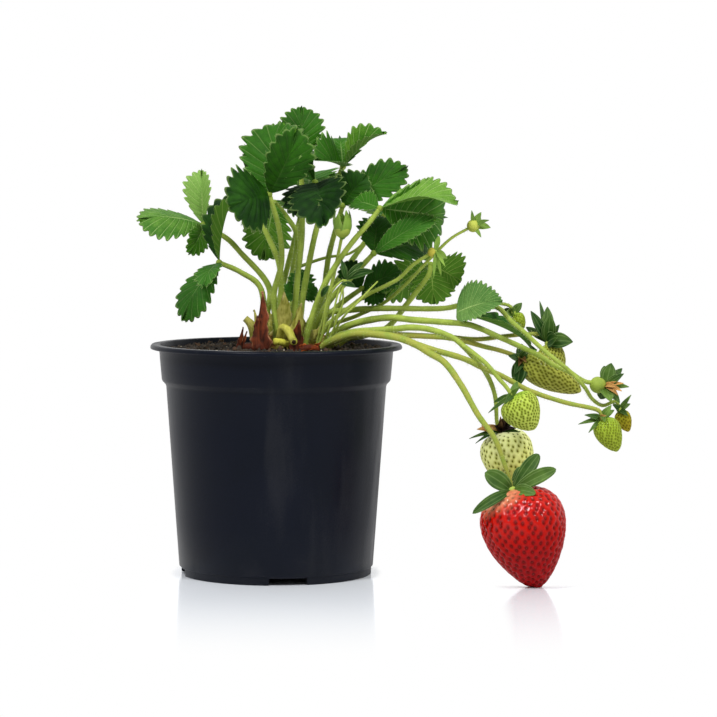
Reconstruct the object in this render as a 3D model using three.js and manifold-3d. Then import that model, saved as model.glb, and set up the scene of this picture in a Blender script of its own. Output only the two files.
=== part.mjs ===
// A strawberry plant in a plastic nursery pot, with its fruit trusses hanging over the rim.
// Units are millimetres and +Z is up. The origin lies on the ground under the middle of the pot.
// The front of the plant faces -Y, and the fruit hangs over the rim on the +X side.
import * as THREE from 'three';
import * as BufferGeometryUtils from 'three/addons/utils/BufferGeometryUtils.js';
import Module from 'manifold-3d';

const wasm = await Module();
wasm.setup();

// The pot: a 13 cm nursery pot.
const potHeight = 118.7;
const rimRadius = 65;
const rimDepth = 2.4;
const bandTopRadius = 60.5;
const bandFootRadius = 59.1;
const bandFootHeight = 100.4;
const bodyTopRadius = 56.9;
const bodyTopHeight = 97.8;
const bodyFootRadius = 50.2;
const footRadius = 49.3;
const footHeight = 4;
const footWidth = 1.6;
const wall = 1.2;
const baseThickness = 1.6;
const centrePadRadius = 9;
const potSegments = 32;
const notchCount = 4;
const notchWidth = 19.6;
const notchTurn = THREE.MathUtils.degToRad(8.7);
const drainHoles = 8;
const drainSides = 8;
const drainRadius = 4;
const drainRing = 34;

// The soil and the crown that stands in it.
const gap = 0.3;
const holeGap = 0.35;
const soilEdgeHeight = 114.5;
const soilRise = 1.5;
const soilLump = 0.8;
const soilRings = 4;
const crownCentre = new THREE.Vector3(9, 0, 106);
const crownRadii = new THREE.Vector3(26, 20, 21);

// Leaves and stems.
const simplifyTolerance = 0.04;
const bladeThickness = 0.8;
const sepalThickness = 0.7;
const sepalWaist = 0.52;
const sepalCrease = 0.12;
const stemSink = 0.3;
const berryClear = 0.5;
const berryDimple = 0.4;
const stemLeadIn = 5;
const leafStalkRadii = [1.8, 1.3];
const spurRadii = [0.9, 0.6];
const stemSides = 5;
const stepLength = 13;
const leafHubRadius = 1.7;
const leafletFoot = 1.6;
const toothReach = 0.015;
const toothWidth = 0.07;
const toothRipple = 0.012;

// Solids.

function toSolid(geometry) {
  const plain = geometry.index ? geometry.toNonIndexed() : geometry.clone();
  for (const name of Object.keys(plain.attributes)) {
    if (name !== 'position') plain.deleteAttribute(name);
  }
  const merged = BufferGeometryUtils.mergeVertices(plain, 1e-4);
  const solid = new wasm.Manifold(new wasm.Mesh({
    numProp: 3,
    vertProperties: new Float32Array(merged.attributes.position.array),
    triVerts: new Uint32Array(merged.index.array),
  }));
  return solid.volume() < 0 ? toSolid(flipped(merged)) : solid;
}

function flipped(geometry) {
  const turned = geometry.clone();
  const order = turned.index.array;
  for (let i = 0; i < order.length; i += 3) {
    [order[i], order[i + 1]] = [order[i + 1], order[i]];
  }
  return turned;
}

function toGeometry(solid) {
  const mesh = solid.asOriginal().simplify(simplifyTolerance).getMesh();
  const geometry = new THREE.BufferGeometry();
  const corners = new Float32Array((mesh.vertProperties.length / mesh.numProp) * 3);
  for (let i = 0; i < corners.length / 3; i += 1) {
    for (let k = 0; k < 3; k += 1) {
      corners[3 * i + k] = mesh.vertProperties[mesh.numProp * i + k];
    }
  }
  geometry.setAttribute('position', new THREE.BufferAttribute(corners, 3));
  geometry.setIndex(new THREE.BufferAttribute(new Uint32Array(mesh.triVerts), 1));
  return geometry;
}

// Joined solids keep only their one body: hollows that the join seals are filled, scraps dropped.
function join(solids) {
  return wholeBody(solids.reduce((whole, next) => whole.add(next)));
}

function cut(solid, holes) {
  return holes.reduce((body, hole) => body.subtract(hole), solid);
}

function wholeBody(solid) {
  return solid.decompose().reduce((best, next) => (next.volume() > best.volume() ? next : best));
}

function fromTriangles(points, triangles) {
  const geometry = new THREE.BufferGeometry();
  const corners = new Float32Array(points.flatMap((p) => [p.x, p.y, p.z]));
  geometry.setAttribute('position', new THREE.BufferAttribute(corners, 3));
  geometry.setIndex(triangles.flat());
  return toSolid(geometry);
}

// Rings of points, all of one count, are joined into a skin, and each end is closed by a fan.
function fromRings(rings, firstPole, lastPole) {
  const count = rings[0].length;
  const points = [firstPole, ...rings.flat(), lastPole];
  const triangles = [];
  const at = (ring, k) => 1 + ring * count + (k % count);
  for (let k = 0; k < count; k += 1) {
    triangles.push([0, at(0, k + 1), at(0, k)]);
    for (let ring = 0; ring + 1 < rings.length; ring += 1) {
      triangles.push([at(ring, k), at(ring, k + 1), at(ring + 1, k + 1)]);
      triangles.push([at(ring, k), at(ring + 1, k + 1), at(ring + 1, k)]);
    }
    triangles.push([points.length - 1, at(rings.length - 1, k), at(rings.length - 1, k + 1)]);
  }
  return fromTriangles(points, triangles);
}

function ball(centre, radius, segments = 8, rings = 6) {
  const geometry = new THREE.SphereGeometry(radius, segments, rings);
  geometry.translate(centre.x, centre.y, centre.z);
  return toSolid(geometry);
}

const vector = (xyz) => new THREE.Vector3(...xyz);

// Stems: round tubes that taper along a smooth curve through a few points.

function curveThrough(points) {
  return new THREE.CatmullRomCurve3(points.map(vector), false, 'catmullrom', 0.5);
}

// The same points with both ends moved out, so that the hole for a stem is a little longer.
function lengthened(points, distance) {
  const moved = (end, next) => {
    const away = vector(end).sub(vector(next)).setLength(distance);
    return vector(end).add(away).toArray();
  };
  return [moved(points[0], points[1]), ...points.slice(1, -1), moved(points.at(-1), points.at(-2))];
}

function stem(points, [startRadius, endRadius], { grow = 0, step = stepLength } = {}) {
  const curve = curveThrough(grow ? lengthened(points, grow) : points);
  const steps = Math.max(3, Math.round(curve.getLength() / step));
  const frames = curve.computeFrenetFrames(steps);
  const rings = [];
  for (let i = 0; i <= steps; i += 1) {
    const share = i / steps;
    const centre = curve.getPointAt(share);
    const radius = THREE.MathUtils.lerp(startRadius, endRadius, share) + grow;
    rings.push(Array.from({ length: stemSides }, (unused, k) => {
      const angle = (2 * Math.PI * k) / stemSides;
      return centre.clone()
        .addScaledVector(frames.normals[i], radius * Math.cos(angle))
        .addScaledVector(frames.binormals[i], radius * Math.sin(angle));
    }));
  }
  return fromRings(rings, curve.getPointAt(0), curve.getPointAt(1));
}

// Blades: a sheet of triangles gets its thickness along its own normals, alike on both faces.

function thickened(points, triangles, thickness) {
  const normals = points.map(() => new THREE.Vector3());
  for (const [a, b, c] of triangles) {
    const face = points[b].clone().sub(points[a]).cross(points[c].clone().sub(points[a]));
    for (const corner of [a, b, c]) normals[corner].add(face);
  }
  normals.forEach((normal) => normal.setLength(thickness / 2));
  const upper = points.map((point, i) => point.clone().add(normals[i]));
  const lower = points.map((point, i) => point.clone().sub(normals[i]));
  const count = points.length;
  const edges = new Map();
  for (const [a, b, c] of triangles) {
    for (const [from, to] of [[a, b], [b, c], [c, a]]) {
      if (!edges.delete(`${to} ${from}`)) edges.set(`${from} ${to}`, [from, to]);
    }
  }
  const walls = [...edges.values()].flatMap(([from, to]) => [
    [to, from, from + count],
    [to, from + count, to + count],
  ]);
  const under = triangles.map(([a, b, c]) => [c + count, b + count, a + count]);
  return fromTriangles([...upper, ...lower], [...triangles, ...under, ...walls]);
}

// Share of the length and of the half width that the edge has reached at t, from 0 at the stalk
// to 1 at the tip: the blade starts as a wedge, is broadest past its middle and ends round.
function bladeEdge(t) {
  return {
    along: (1 - Math.cos(Math.PI * t)) / 2,
    across: Math.sin(Math.PI * t ** 1.25) ** 1.3,
  };
}

const midribReach = (t) => 0.9 * t ** 1.2;

// The rows of a blade run like its side veins, from the midrib out and forward to the edge. Every
// second row of the toothed stretch ends in a tooth and the others end in the notch before it.
function bladeRows(teeth) {
  if (teeth === 0) return [{ t: 0, tooth: 0 }, { t: 0.55, tooth: 0 }];
  const rows = [{ t: 0, tooth: 0 }, { t: 0.2, tooth: 0 }];
  const first = 0.3;
  const last = 0.94;
  for (let k = 0; k < 2 * teeth; k += 1) {
    rows.push({ t: first + ((last - first) * k) / (2 * teeth - 1), tooth: k % 2 ? 1 : -1 });
  }
  return rows;
}

function rowTriangles(from, to) {
  const triangles = [[from.left, from.middle, to.left], [from.middle, from.right, to.right]];
  if (to.middle !== from.middle) {
    triangles.push([to.left, from.middle, to.middle], [from.middle, to.right, to.middle]);
  }
  return triangles;
}

// One leaflet or sepal from base to tip. `face` is the way its upper side looks, `arch` lifts the
// middle by that share of the length, and `fold` turns the left and right halves up in radians.
function blade({
  base, tip, face, width, arch = 0.06, fold = 0.2, teeth = 4, foot = leafletFoot,
}) {
  const start = vector(base);
  const along = vector(tip).sub(start);
  const length = along.length();
  along.normalize();
  const across = vector(face).cross(along).normalize();
  const up = along.clone().cross(across);
  const [leftFold, rightFold] = Array.isArray(fold) ? fold : [fold, fold];
  const lift = (share) => arch * length * 4 * share * (1 - share);
  const place = (share, side, raise) => start.clone()
    .addScaledVector(along, length * share)
    .addScaledVector(across, side)
    .addScaledVector(up, lift(share) + raise);
  const points = [];
  const triangles = [];
  let before = null;
  for (const { t, tooth } of bladeRows(teeth)) {
    const edge = bladeEdge(t);
    const reach = edge.along * 0.97 + toothReach * tooth;
    const half = Math.max(foot / 2, (width / 2) * edge.across * (1 + toothWidth * tooth));
    const ripple = toothRipple * width * tooth;
    const row = { left: points.length, right: points.length + 1, middle: before?.middle };
    points.push(
      place(reach, half * Math.cos(leftFold), half * Math.sin(leftFold) + ripple),
      place(reach, -half * Math.cos(rightFold), half * Math.sin(rightFold) + ripple),
    );
    if (tooth <= 0) row.middle = points.push(place(midribReach(t), 0, 0)) - 1;
    if (before) triangles.push(...rowTriangles(before, row));
    before = row;
  }
  const end = points.push(place(1, 0, 0)) - 1;
  triangles.push([before.left, before.middle, end], [before.middle, before.right, end]);
  return thickened(points, triangles, bladeThickness);
}

// A leaf: leaflets that meet in a small hub at the top of the leaf stalk.
function leafBlades(hub, leaflets) {
  const centre = vector(hub);
  const parts = leaflets.map((leaflet) => {
    const tip = vector(leaflet.tip);
    const base = centre.clone().lerp(tip, 0.6 / centre.distanceTo(tip));
    return blade({ ...leaflet, base: base.toArray() });
  });
  return join([ball(centre, leafHubRadius, 0, 6, 4), ...parts]);
}

// The stalk of a leaf ends just under the hub of its leaflets.
function leafStalk(points, grow = 0) {
  const last = vector(points.at(-1));
  const before = vector(points.at(-2));
  const shortened = last.lerp(before, (leafHubRadius + gap) / last.distanceTo(before));
  return stem([...points.slice(0, -1), shortened.toArray()], leafStalkRadii, { grow });
}

// Fruit: a conical body with sunken seeds set in staggered rows, and a dimple under the calyx.

function berryRadius(share, width) {
  return (width / 2) * Math.sin(Math.PI * share ** 0.62) ** 0.55;
}

function makeBerry({ top, tip, width, around = 14, rings = 8, pit = 0.06, floor = -Infinity }) {
  const start = vector(top);
  const axis = vector(tip).sub(start);
  const length = axis.length();
  axis.normalize();
  const side = new THREE.Vector3(0, 1, 0).cross(axis).normalize();
  const other = axis.clone().cross(side);
  const skin = [];
  for (let ring = 1; ring < rings; ring += 1) {
    const share = (1 - Math.cos((Math.PI * ring) / rings)) / 2;
    skin.push(Array.from({ length: around }, (unused, k) => {
      const angle = (2 * Math.PI * k) / around;
      const sunk = (ring + k) % 2 && ring > 1 && ring < rings - 1 ? 1 - pit : 1;
      const radius = berryRadius(share, width) * sunk;
      const point = start.clone()
        .addScaledVector(axis, length * share)
        .addScaledVector(side, radius * Math.cos(angle))
        .addScaledVector(other, radius * Math.sin(angle));
      point.z = Math.max(point.z, floor);
      return point;
    }));
  }
  const dimple = start.clone().addScaledVector(axis, berryDimple);
  return fromRings(skin, dimple, vector(tip).setZ(Math.max(tip[2], floor)));
}

// The calyx: pointed sepals round the top of a fruit.
function calyxCentre({ top, tip }) {
  const start = vector(top);
  const up = start.clone().sub(vector(tip)).normalize();
  return { up, centre: start.addScaledVector(up, gap + sepalThickness / 2) };
}

// One sepal: a kite from the middle of the calyx to its tip, creased along the midline. `face` is
// the way its broad side looks, and `lift` raises its middle that way by a share of the length.
function sepal(centre, face, [x, y, z, broad, lift = 0.1]) {
  const reach = new THREE.Vector3(x, y, z);
  const across = face.clone().cross(reach).normalize();
  const raised = reach.clone().cross(across).normalize();
  const place = (share, side, raise) => centre.clone()
    .addScaledVector(reach, share)
    .addScaledVector(across, side)
    .addScaledVector(raised, raise);
  const height = lift * reach.length();
  const points = [
    centre, place(sepalWaist, broad / 2, height), place(1, 0, 0),
    place(sepalWaist, -broad / 2, height), place(sepalWaist, 0, height + sepalCrease * broad),
  ];
  return thickened(points, [[0, 1, 4], [1, 2, 4], [2, 3, 4], [3, 0, 4]], sepalThickness);
}

// Sepals set one by one show their broad side to the front, a little upwards.
const sepalFace = new THREE.Vector3(0, -1, 0.4);

// Evenly spaced sepals lean back from the fruit by `lean`; every third one leans further.
function evenSepals({ up }, { sepals, reach, broad, lean, lift, turn = 0 }) {
  const side = new THREE.Vector3(0, 1, 0).cross(up).normalize();
  const other = up.clone().cross(side);
  return Array.from({ length: sepals }, (unused, k) => {
    const angle = turn + (2 * Math.PI * k) / sepals;
    const way = side.clone().multiplyScalar(Math.cos(angle))
      .addScaledVector(other, Math.sin(angle))
      .addScaledVector(up, lean + (k % 3 === 2 ? 0.35 : 0))
      .setLength(reach * (k % 2 ? 0.85 : 1));
    return [...way.toArray(), broad, lift];
  });
}

function calyx(fruit, look) {
  const middle = calyxCentre(fruit);
  const tips = look.tips ?? evenSepals(middle, look);
  const face = look.tips ? sepalFace : middle.up;
  return tips.map((tip) => sepal(middle.centre, face, tip));
}

// The room that a berry needs: a smooth berry a little larger, out of which its sepals are cut.
function berryRoom(fruit) {
  const { up } = calyxCentre(fruit);
  const top = vector(fruit.top).addScaledVector(up, gap - 0.05);
  const tip = vector(fruit.tip).addScaledVector(up, -gap);
  const width = fruit.width + 2 * berryClear;
  return makeBerry({ ...fruit, top: top.toArray(), tip: tip.toArray(), width, pit: 0, floor: -Infinity });
}

// The pot.

function potProfile() {
  const rimTop = potHeight;
  const rimLow = potHeight - rimDepth;
  const plateTop = footHeight + baseThickness;
  const outer = [
    [0, 0], [centrePadRadius, 0], [centrePadRadius + 1, footHeight],
    [footRadius - footWidth, footHeight], [footRadius - footWidth, 0], [footRadius, 0],
    [footRadius, footHeight], [bodyFootRadius, footHeight],
    [bodyTopRadius, bodyTopHeight], [bandFootRadius, bandFootHeight], [bandTopRadius, rimLow],
    [rimRadius - 0.6, rimLow], [rimRadius, rimLow + 0.8], [rimRadius - 0.8, rimTop],
  ];
  const inner = [
    [bandTopRadius - 0.4, rimTop], [bandTopRadius - wall, rimLow],
    [bandFootRadius - wall, bandFootHeight + 0.4], [bodyTopRadius - wall, bodyTopHeight],
    [bodyFootRadius - wall, plateTop], [0, plateTop],
  ];
  return [...outer, ...inner].map(([radius, height]) => new THREE.Vector2(radius, height));
}

function lathe(profile, segments) {
  const geometry = new THREE.LatheGeometry(profile, segments);
  geometry.rotateX(Math.PI / 2);
  return toSolid(geometry);
}

function makePot() {
  let pot = lathe(potProfile(), potSegments);
  for (let k = 0; k < notchCount; k += 1) {
    const notch = new THREE.BoxGeometry(20, notchWidth, footHeight);
    notch.translate(footRadius, 0, footHeight / 2 - 0.3);
    notch.rotateZ(notchTurn + (2 * Math.PI * k) / notchCount - Math.PI / 2);
    pot = pot.subtract(toSolid(notch));
  }
  for (let k = 0; k < drainHoles; k += 1) {
    const hole = new THREE.CylinderGeometry(drainRadius, drainRadius, 6, drainSides);
    hole.rotateX(Math.PI / 2);
    hole.translate(drainRing, 0, footHeight + baseThickness / 2);
    hole.rotateZ((2 * Math.PI * (k + 0.5)) / drainHoles);
    pot = pot.subtract(toSolid(hole));
  }
  return pot;
}

// The soil fills the pot. Its top is a low lumpy mound.
function soilTop(x, y) {
  const middle = Math.max(0, 1 - Math.hypot(x, y) / bodyTopRadius);
  const lumps = Math.sin(x * 0.31 + 1.3) * Math.cos(y * 0.27) + Math.sin(x * 0.13 - y * 0.47);
  return soilEdgeHeight + soilRise * Math.sqrt(middle) + soilLump * lumps;
}

function makeSoil() {
  const clear = wall + gap + 0.15;
  const floor = footHeight + baseThickness + gap;
  const circle = (radius, height) => Array.from({ length: potSegments }, (unused, k) => {
    const angle = (2 * Math.PI * k) / potSegments;
    const x = radius * Math.cos(angle);
    const y = radius * Math.sin(angle);
    return new THREE.Vector3(x, y, height ?? soilTop(x, y));
  });
  const lowRings = [
    circle(bodyFootRadius - clear, floor),
    circle(bodyTopRadius - clear, bodyTopHeight - 0.5),
    circle(bandFootRadius - clear, bandFootHeight + 1),
  ];
  const topRings = Array.from({ length: soilRings }, (unused, k) => (
    circle((bandTopRadius - clear - 0.5) * (1 - k / soilRings))
  ));
  return fromRings(
    [...lowRings, ...topRings],
    new THREE.Vector3(0, 0, floor),
    new THREE.Vector3(0, 0, soilTop(0, 0)),
  );
}

// The crown: a lump that all stems grow from, with pale sheaths and cut-off old stubs.
function crownCore(grow = 0) {
  const rings = [];
  const ringCount = 6;
  const around = 12;
  for (let ring = 1; ring < ringCount; ring += 1) {
    const polar = (Math.PI * ring) / ringCount;
    rings.push(Array.from({ length: around }, (unused, k) => {
      const angle = (2 * Math.PI * k) / around;
      const knob = 1 + 0.05 * Math.sin(3 * angle + 2 * ring) + 0.04 * Math.cos(5 * angle - ring);
      return new THREE.Vector3(
        crownCentre.x + (crownRadii.x * knob + grow) * Math.sin(polar) * Math.cos(angle),
        crownCentre.y + (crownRadii.y * knob + grow) * Math.sin(polar) * Math.sin(angle),
        crownCentre.z + (crownRadii.z + grow) * Math.cos(polar),
      );
    }));
  }
  const pole = (way) => crownCentre.clone().setZ(crownCentre.z + way * (crownRadii.z + grow));
  return fromRings(rings, pole(1), pole(-1));
}

const sheaths = [
  { base: [2, -13, 118], tip: [3, -16, 139], face: [0.1, 1, 0.1], width: 9, fold: 0.5 },
  { base: [9, -15, 118], tip: [11, -19, 136], face: [0.1, 1, 0.1], width: 8, fold: 0.5 },
  { base: [18, -12, 116], tip: [24, -19, 131], face: [-0.4, 1, 0.1], width: 8, fold: 0.5 },
  { base: [-8, -4, 118], tip: [-12, -7, 136], face: [1, 0.5, 0.1], width: 7, fold: 0.4 },
  { base: [-2, 8, 118], tip: [-6, 13, 138], face: [0.2, -1, 0.1], width: 9, fold: 0.5 },
  { base: [10, 14, 116], tip: [12, 20, 134], face: [0, -1, 0.1], width: 9, fold: 0.5 },
];

const stubs = [
  { points: [[-7, -6, 114], [-11, -8, 124], [-14, -10, 132], [-17, -10, 134]], radii: [2.6, 1.7] },
  { points: [[0, -13, 119], [3, -17, 125], [6, -21, 123], [8, -24, 118]], radii: [2.6, 2.2] },
  { points: [[1, -12, 114], [1, -20, 117], [1, -25, 119]], radii: [2.1, 2] },
];

function crownStubs(grow = 0) {
  return stubs.map(({ points, radii }) => stem(points, radii, { grow, step: 6 }));
}

function crownBody() {
  const plates = sheaths.map((sheath) => blade({ ...sheath, teeth: 0, foot: 7, arch: -0.08 }));
  return join([crownCore(), ...plates, ...crownStubs()]);
}

// Dry red-brown stipules stand in a band round the front left of the crown.
const stipulePlates = [
  { base: [-11, -18, 118.5], tip: [-7, -19, 144], face: [0.6, 1, 0], width: 9, fold: 0.4 },
  { base: [-8, -21, 118.5], tip: [-4, -22, 135], face: [0.2, 1, 0], width: 9, fold: 0.3 },
  { base: [-16, -14, 118], tip: [-21, -18, 127], face: [0.8, 1, 0], width: 6, fold: 0.4 },
  { base: [-18, -9, 118], tip: [-20, -13, 129], face: [1, 0.7, 0], width: 6, fold: 0.4 },
];
const stipuleRoot = [[-18, -8, 118], [-15, -15, 118], [-7, -21, 118]];
const stipuleRadius = 2.2;

function stipuleBand(grow = 0) {
  return stem(stipuleRoot, [stipuleRadius, stipuleRadius], { grow, step: 5 });
}

// One more dry piece lies on the soil at the front right of the crown.
const driedRoot = [[13.5, -25, 116.5], [17, -26, 118.5], [22, -24, 117.5]];

function driedPiece(grow = 0) {
  return stem(driedRoot, [stipuleRadius, stipuleRadius], { grow, step: 5 });
}

function makeStipules() {
  const plates = stipulePlates.map((plate) => blade({ ...plate, teeth: 0, foot: 5, arch: -0.05 }));
  return join([stipuleBand(), ...plates]);
}

// The leaves. Each stalk runs from its place in the crown to the hub of its leaflets.

const leaves = [
  {
    name: 'leaf_01', // low on the left, pale, its tip points left
    stalk: [[-8, 1, 112], [-6, 2, 130], [-4, 3, 148], [-19, 4, 166], [-26, 5, 173], [-38, 4, 180]],
    leaflets: [
      { tip: [-70, -14, 184], face: [-0.1, -0.65, 0.8], width: 28, fold: -0.25, teeth: 5 },
      { tip: [-39, 8, 209], face: [0, -1, 0.05], width: 21, fold: [0.5, 1.1], teeth: 5 },
      { tip: [-44, -15, 166], face: [0.8, -0.3, 0.5], width: 13, fold: 0.3 },
    ],
  },
  {
    name: 'leaf_02', // below the first, with one leaflet hanging down
    stalk: [[-6, -7, 112], [-6, -7, 130], [-8, -8, 148], [-18, -10, 156], [-29, -12, 161]],
    leaflets: [
      { tip: [-48, -22, 132], face: [-0.4, -0.85, 0.4], width: 19, arch: 0.1, fold: -0.1, teeth: 5 },
      { tip: [-21, -9, 197], face: [-0.75, -0.65, 0.1], width: 26, fold: 0.9 },
      { tip: [-36, -36, 151], face: [-0.3, -0.5, 0.8], width: 13, teeth: 3 },
    ],
  },
  {
    name: 'leaf_03', // the tall front leaf
    stalk: [[1, -12, 112], [0, -12, 130], [-1, -13, 145], [3, -17, 161], [2, -22, 178], [-3, -26, 196]],
    leaflets: [
      { tip: [-22, -48, 191], face: [0.62, -0.7, 0.3], width: 29, arch: 0.1, fold: 0, teeth: 5 },
      { tip: [3, -14, 234], face: [-0.45, -0.85, 0.15], width: 33, fold: 0.2, teeth: 5 },
      { tip: [12, -36, 229], face: [0.45, -0.85, 0.1], width: 23, fold: 0.35, teeth: 5 },
    ],
  },
  {
    name: 'leaf_04', // behind the tall one, seen nearly edge on
    stalk: [[-1, -3, 112], [2, -5, 135], [2, -7, 158], [-5, -7, 176], [-14, -4, 194]],
    leaflets: [
      { tip: [-14, 0, 222], face: [0.8, -0.5, 0.1], width: 22, fold: 0.3 },
      { tip: [-30, 16, 186], face: [-0.1, -0.2, 1], width: 17 },
      { tip: [-12, 22, 202], face: [0.2, 0.1, 1], width: 20 },
    ],
  },
  {
    name: 'leaf_05', // the topmost, at the back
    stalk: [[4, 13, 112], [8, 19, 141], [12, 20, 165], [13, 20, 186], [12, 20, 213]],
    leaflets: [
      { tip: [12.5, 24, 242], face: [0.15, -0.95, 0.15], width: 25, fold: 0.3, teeth: 5 },
      { tip: [-12, 30, 226], face: [-0.3, -0.8, 0.5], width: 24 },
      { tip: [6, 50, 218], face: [0.2, -0.2, 1], width: 24 },
    ],
  },
  {
    name: 'leaf_06', // dark, in the middle of the front
    stalk: [[7, -5, 112], [9, -6, 128], [10, -7, 141], [12, -8, 165], [14, -9, 186], [20, -13, 202]],
    leaflets: [
      { tip: [10, -31, 186], face: [-0.3, -0.8, 0.5], width: 20, arch: 0.12, fold: 0, teeth: 5 },
      { tip: [25, -37, 181], face: [0.1, -0.7, 0.7], width: 31, arch: 0.12, fold: [0.85, 0.05], teeth: 5 },
      { tip: [13, -3, 217], face: [-0.2, -0.9, -0.1], width: 15, fold: 0.7 },
    ],
  },
  {
    name: 'leaf_07', // folded, high in the middle
    stalk: [[9, 4, 112], [12, 2, 130], [14, 3, 146], [21, 6, 180], [28, 16, 197], [34, 25, 210]],
    leaflets: [
      { tip: [56, 18, 229], face: [-0.4, -0.5, 0.75], width: 21, fold: 0.9, teeth: 5 },
      { tip: [20, 6, 214], face: [-0.1, -0.95, 0.3], width: 28, fold: [1.2, 0.1], teeth: 5 },
      { tip: [32, 46, 227], face: [0, -0.8, 0.5], width: 26 },
    ],
  },
  {
    name: 'leaf_08', // the large one on the right
    stalk: [[13, -13, 112], [17, -17, 128], [24, -20, 148], [32, -20, 162], [40, -20, 173],
      [47, -18, 181], [53, -16, 189]],
    leaflets: [
      { tip: [93, -22, 194], face: [0, 0, 1], width: 33, fold: [0.72, 0.05], teeth: 5 },
      { tip: [89, 4, 184], face: [0.05, -1, 0.05], width: 34, fold: 0.15, teeth: 5 },
      { tip: [38, -10, 192.5], face: [0, -0.55, 0.8], width: 18 },
    ],
  },
  {
    name: 'leaf_09', // behind the large one
    stalk: [[13, 13, 112], [18, 17, 128], [24, 19, 145], [27, 20, 165], [34, 10, 190]],
    spurs: [[[12, 23, 158], [20, 21, 161], [27, 20, 163], [38, 21, 165], [48, 20, 173]]],
    leaflets: [
      { tip: [46, 3, 206], face: [0, -0.9, 0.3], width: 21, fold: 0.3 },
      { tip: [68, 14, 211], face: [-0.2, -0.85, 0.1], width: 19, teeth: 5 },
      { tip: [50, 27, 206], face: [0, -0.8, 0.5], width: 18 },
    ],
  },
  {
    name: 'leaf_10', // small, under the large one
    stalk: [[13, 0, 112], [20, 0, 128], [28, -4, 142], [40, -8, 155], [50, -13, 166]],
    leaflets: [
      { tip: [81, -27, 185], face: [0, -0.85, 0.5], width: 14, fold: 0.4 },
      { tip: [53, -2, 186], face: [-0.2, -0.9, 0.2], width: 19 },
      { tip: [81, 14, 171], face: [0, -0.9, 0.3], width: 20 },
    ],
  },
  {
    name: 'leaf_11', // low on the right, seen from beneath
    stalk: [[24, 10, 112], [32, 13, 120], [44, 15, 122], [55, 16, 125], [61, 16, 130], [67, 16, 138],
      [74, 17, 147], [79, 19, 154], [80, 22, 159]],
    leaflets: [
      { tip: [96, 22, 150], face: [0.2, 0.85, 0.5], width: 25, teeth: 5 },
      { tip: [82, 26, 138], face: [0, 0.9, 0.4], width: 22 },
      { tip: [55, 28, 142], face: [-0.2, 0.85, 0.5], width: 25 },
    ],
  },
  {
    name: 'leaf_12', // young and dark, deep in the middle
    stalk: [[14, 8, 112], [22, 11, 127], [32, 11, 138], [44, 10, 147]],
    leaflets: [
      { tip: [64, 8, 154], face: [0, -0.8, 0.5], width: 14, teeth: 3 },
      { tip: [37, 6, 158], face: [-0.3, -0.8, 0.4], width: 13, teeth: 3 },
      { tip: [55, 3, 141], face: [0.2, -0.9, 0.4], width: 13, teeth: 3 },
    ],
  },
  {
    name: 'leaf_13', // bright, hanging behind the stalks on the left
    stalk: [[-3, 7, 112], [0, 14, 130], [6, 26, 148], [10, 30, 172], [4, 36, 184], [-2, 31, 191]],
    leaflets: [
      { tip: [-8, 22, 161], face: [0, -0.95, 0.3], width: 24 },
      { tip: [-20, 44, 184], face: [-0.4, -0.6, 0.7], width: 22 },
      { tip: [-4, 56, 190], face: [0.2, 0.2, 1], width: 22 },
    ],
  },
  {
    name: 'leaf_14', // the smallest, low between the stalks
    stalk: [[5, 8, 112], [8, 10, 126], [12, 11, 142]],
    leaflets: [
      { tip: [13, 12, 157], face: [0, -0.9, 0.3], width: 13, teeth: 3 },
      { tip: [2, 9, 147], face: [-0.3, -0.8, 0.4], width: 11, teeth: 3 },
      { tip: [21, 9, 147], face: [0.3, -0.8, 0.4], width: 11, teeth: 3 },
    ],
  },
  {
    name: 'leaf_15', // at the back
    stalk: [[-2, 13, 112], [0, 27, 136], [8, 42, 170], [15, 50, 198]],
    leaflets: [
      { tip: [18, 82, 208], face: [0, 0.3, 1], width: 28 },
      { tip: [-16, 56, 204], face: [-0.2, 0.1, 1], width: 26 },
      { tip: [46, 60, 206], face: [0.2, 0.1, 1], width: 26 },
    ],
  },
  {
    name: 'leaf_16', // at the back right
    stalk: [[8, 16, 112], [20, 26, 134], [44, 38, 168], [56, 44, 184]],
    leaflets: [
      { tip: [86, 54, 184], face: [0.3, 0.1, 1], width: 24 },
      { tip: [58, 76, 184], face: [0, 0.3, 1], width: 26 },
      { tip: [30, 58, 190], face: [-0.2, 0.1, 1], width: 22 },
    ],
  },
];

// The fruit. `top` is where the calyx sits and `tip` is the far end.
const fruits = {
  ripe: { top: [123, -49, 50], tip: [131, -49, -1], width: 44, around: 26, rings: 13, pit: 0.035, floor: 0 },
  white: { top: [115, -18, 75], tip: [125, -18, 45], width: 27, around: 20, rings: 10 },
  green: { top: [120, -40, 95], tip: [131, -40, 78.5], width: 20 },
  long: { top: [127, -5, 111], tip: [157, -5, 95], width: 17 },
  hidden: { top: [141, 13, 118], tip: [147, 13, 99], width: 14 },
  young: { top: [169.5, -14, 98], tip: [174.5, -14, 96], width: 6, around: 8, rings: 5 },
  small: { top: [166.5, -24, 82], tip: [174.5, -24, 66], width: 14 },
  tiny: { top: [123, 8, 134], tip: [128, 8, 126.5], width: 8, around: 10, rings: 6 },
  withered: { top: [176.5, -8, 85], tip: [180, -8, 77], width: 7, around: 8, rings: 6 },
};

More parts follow.
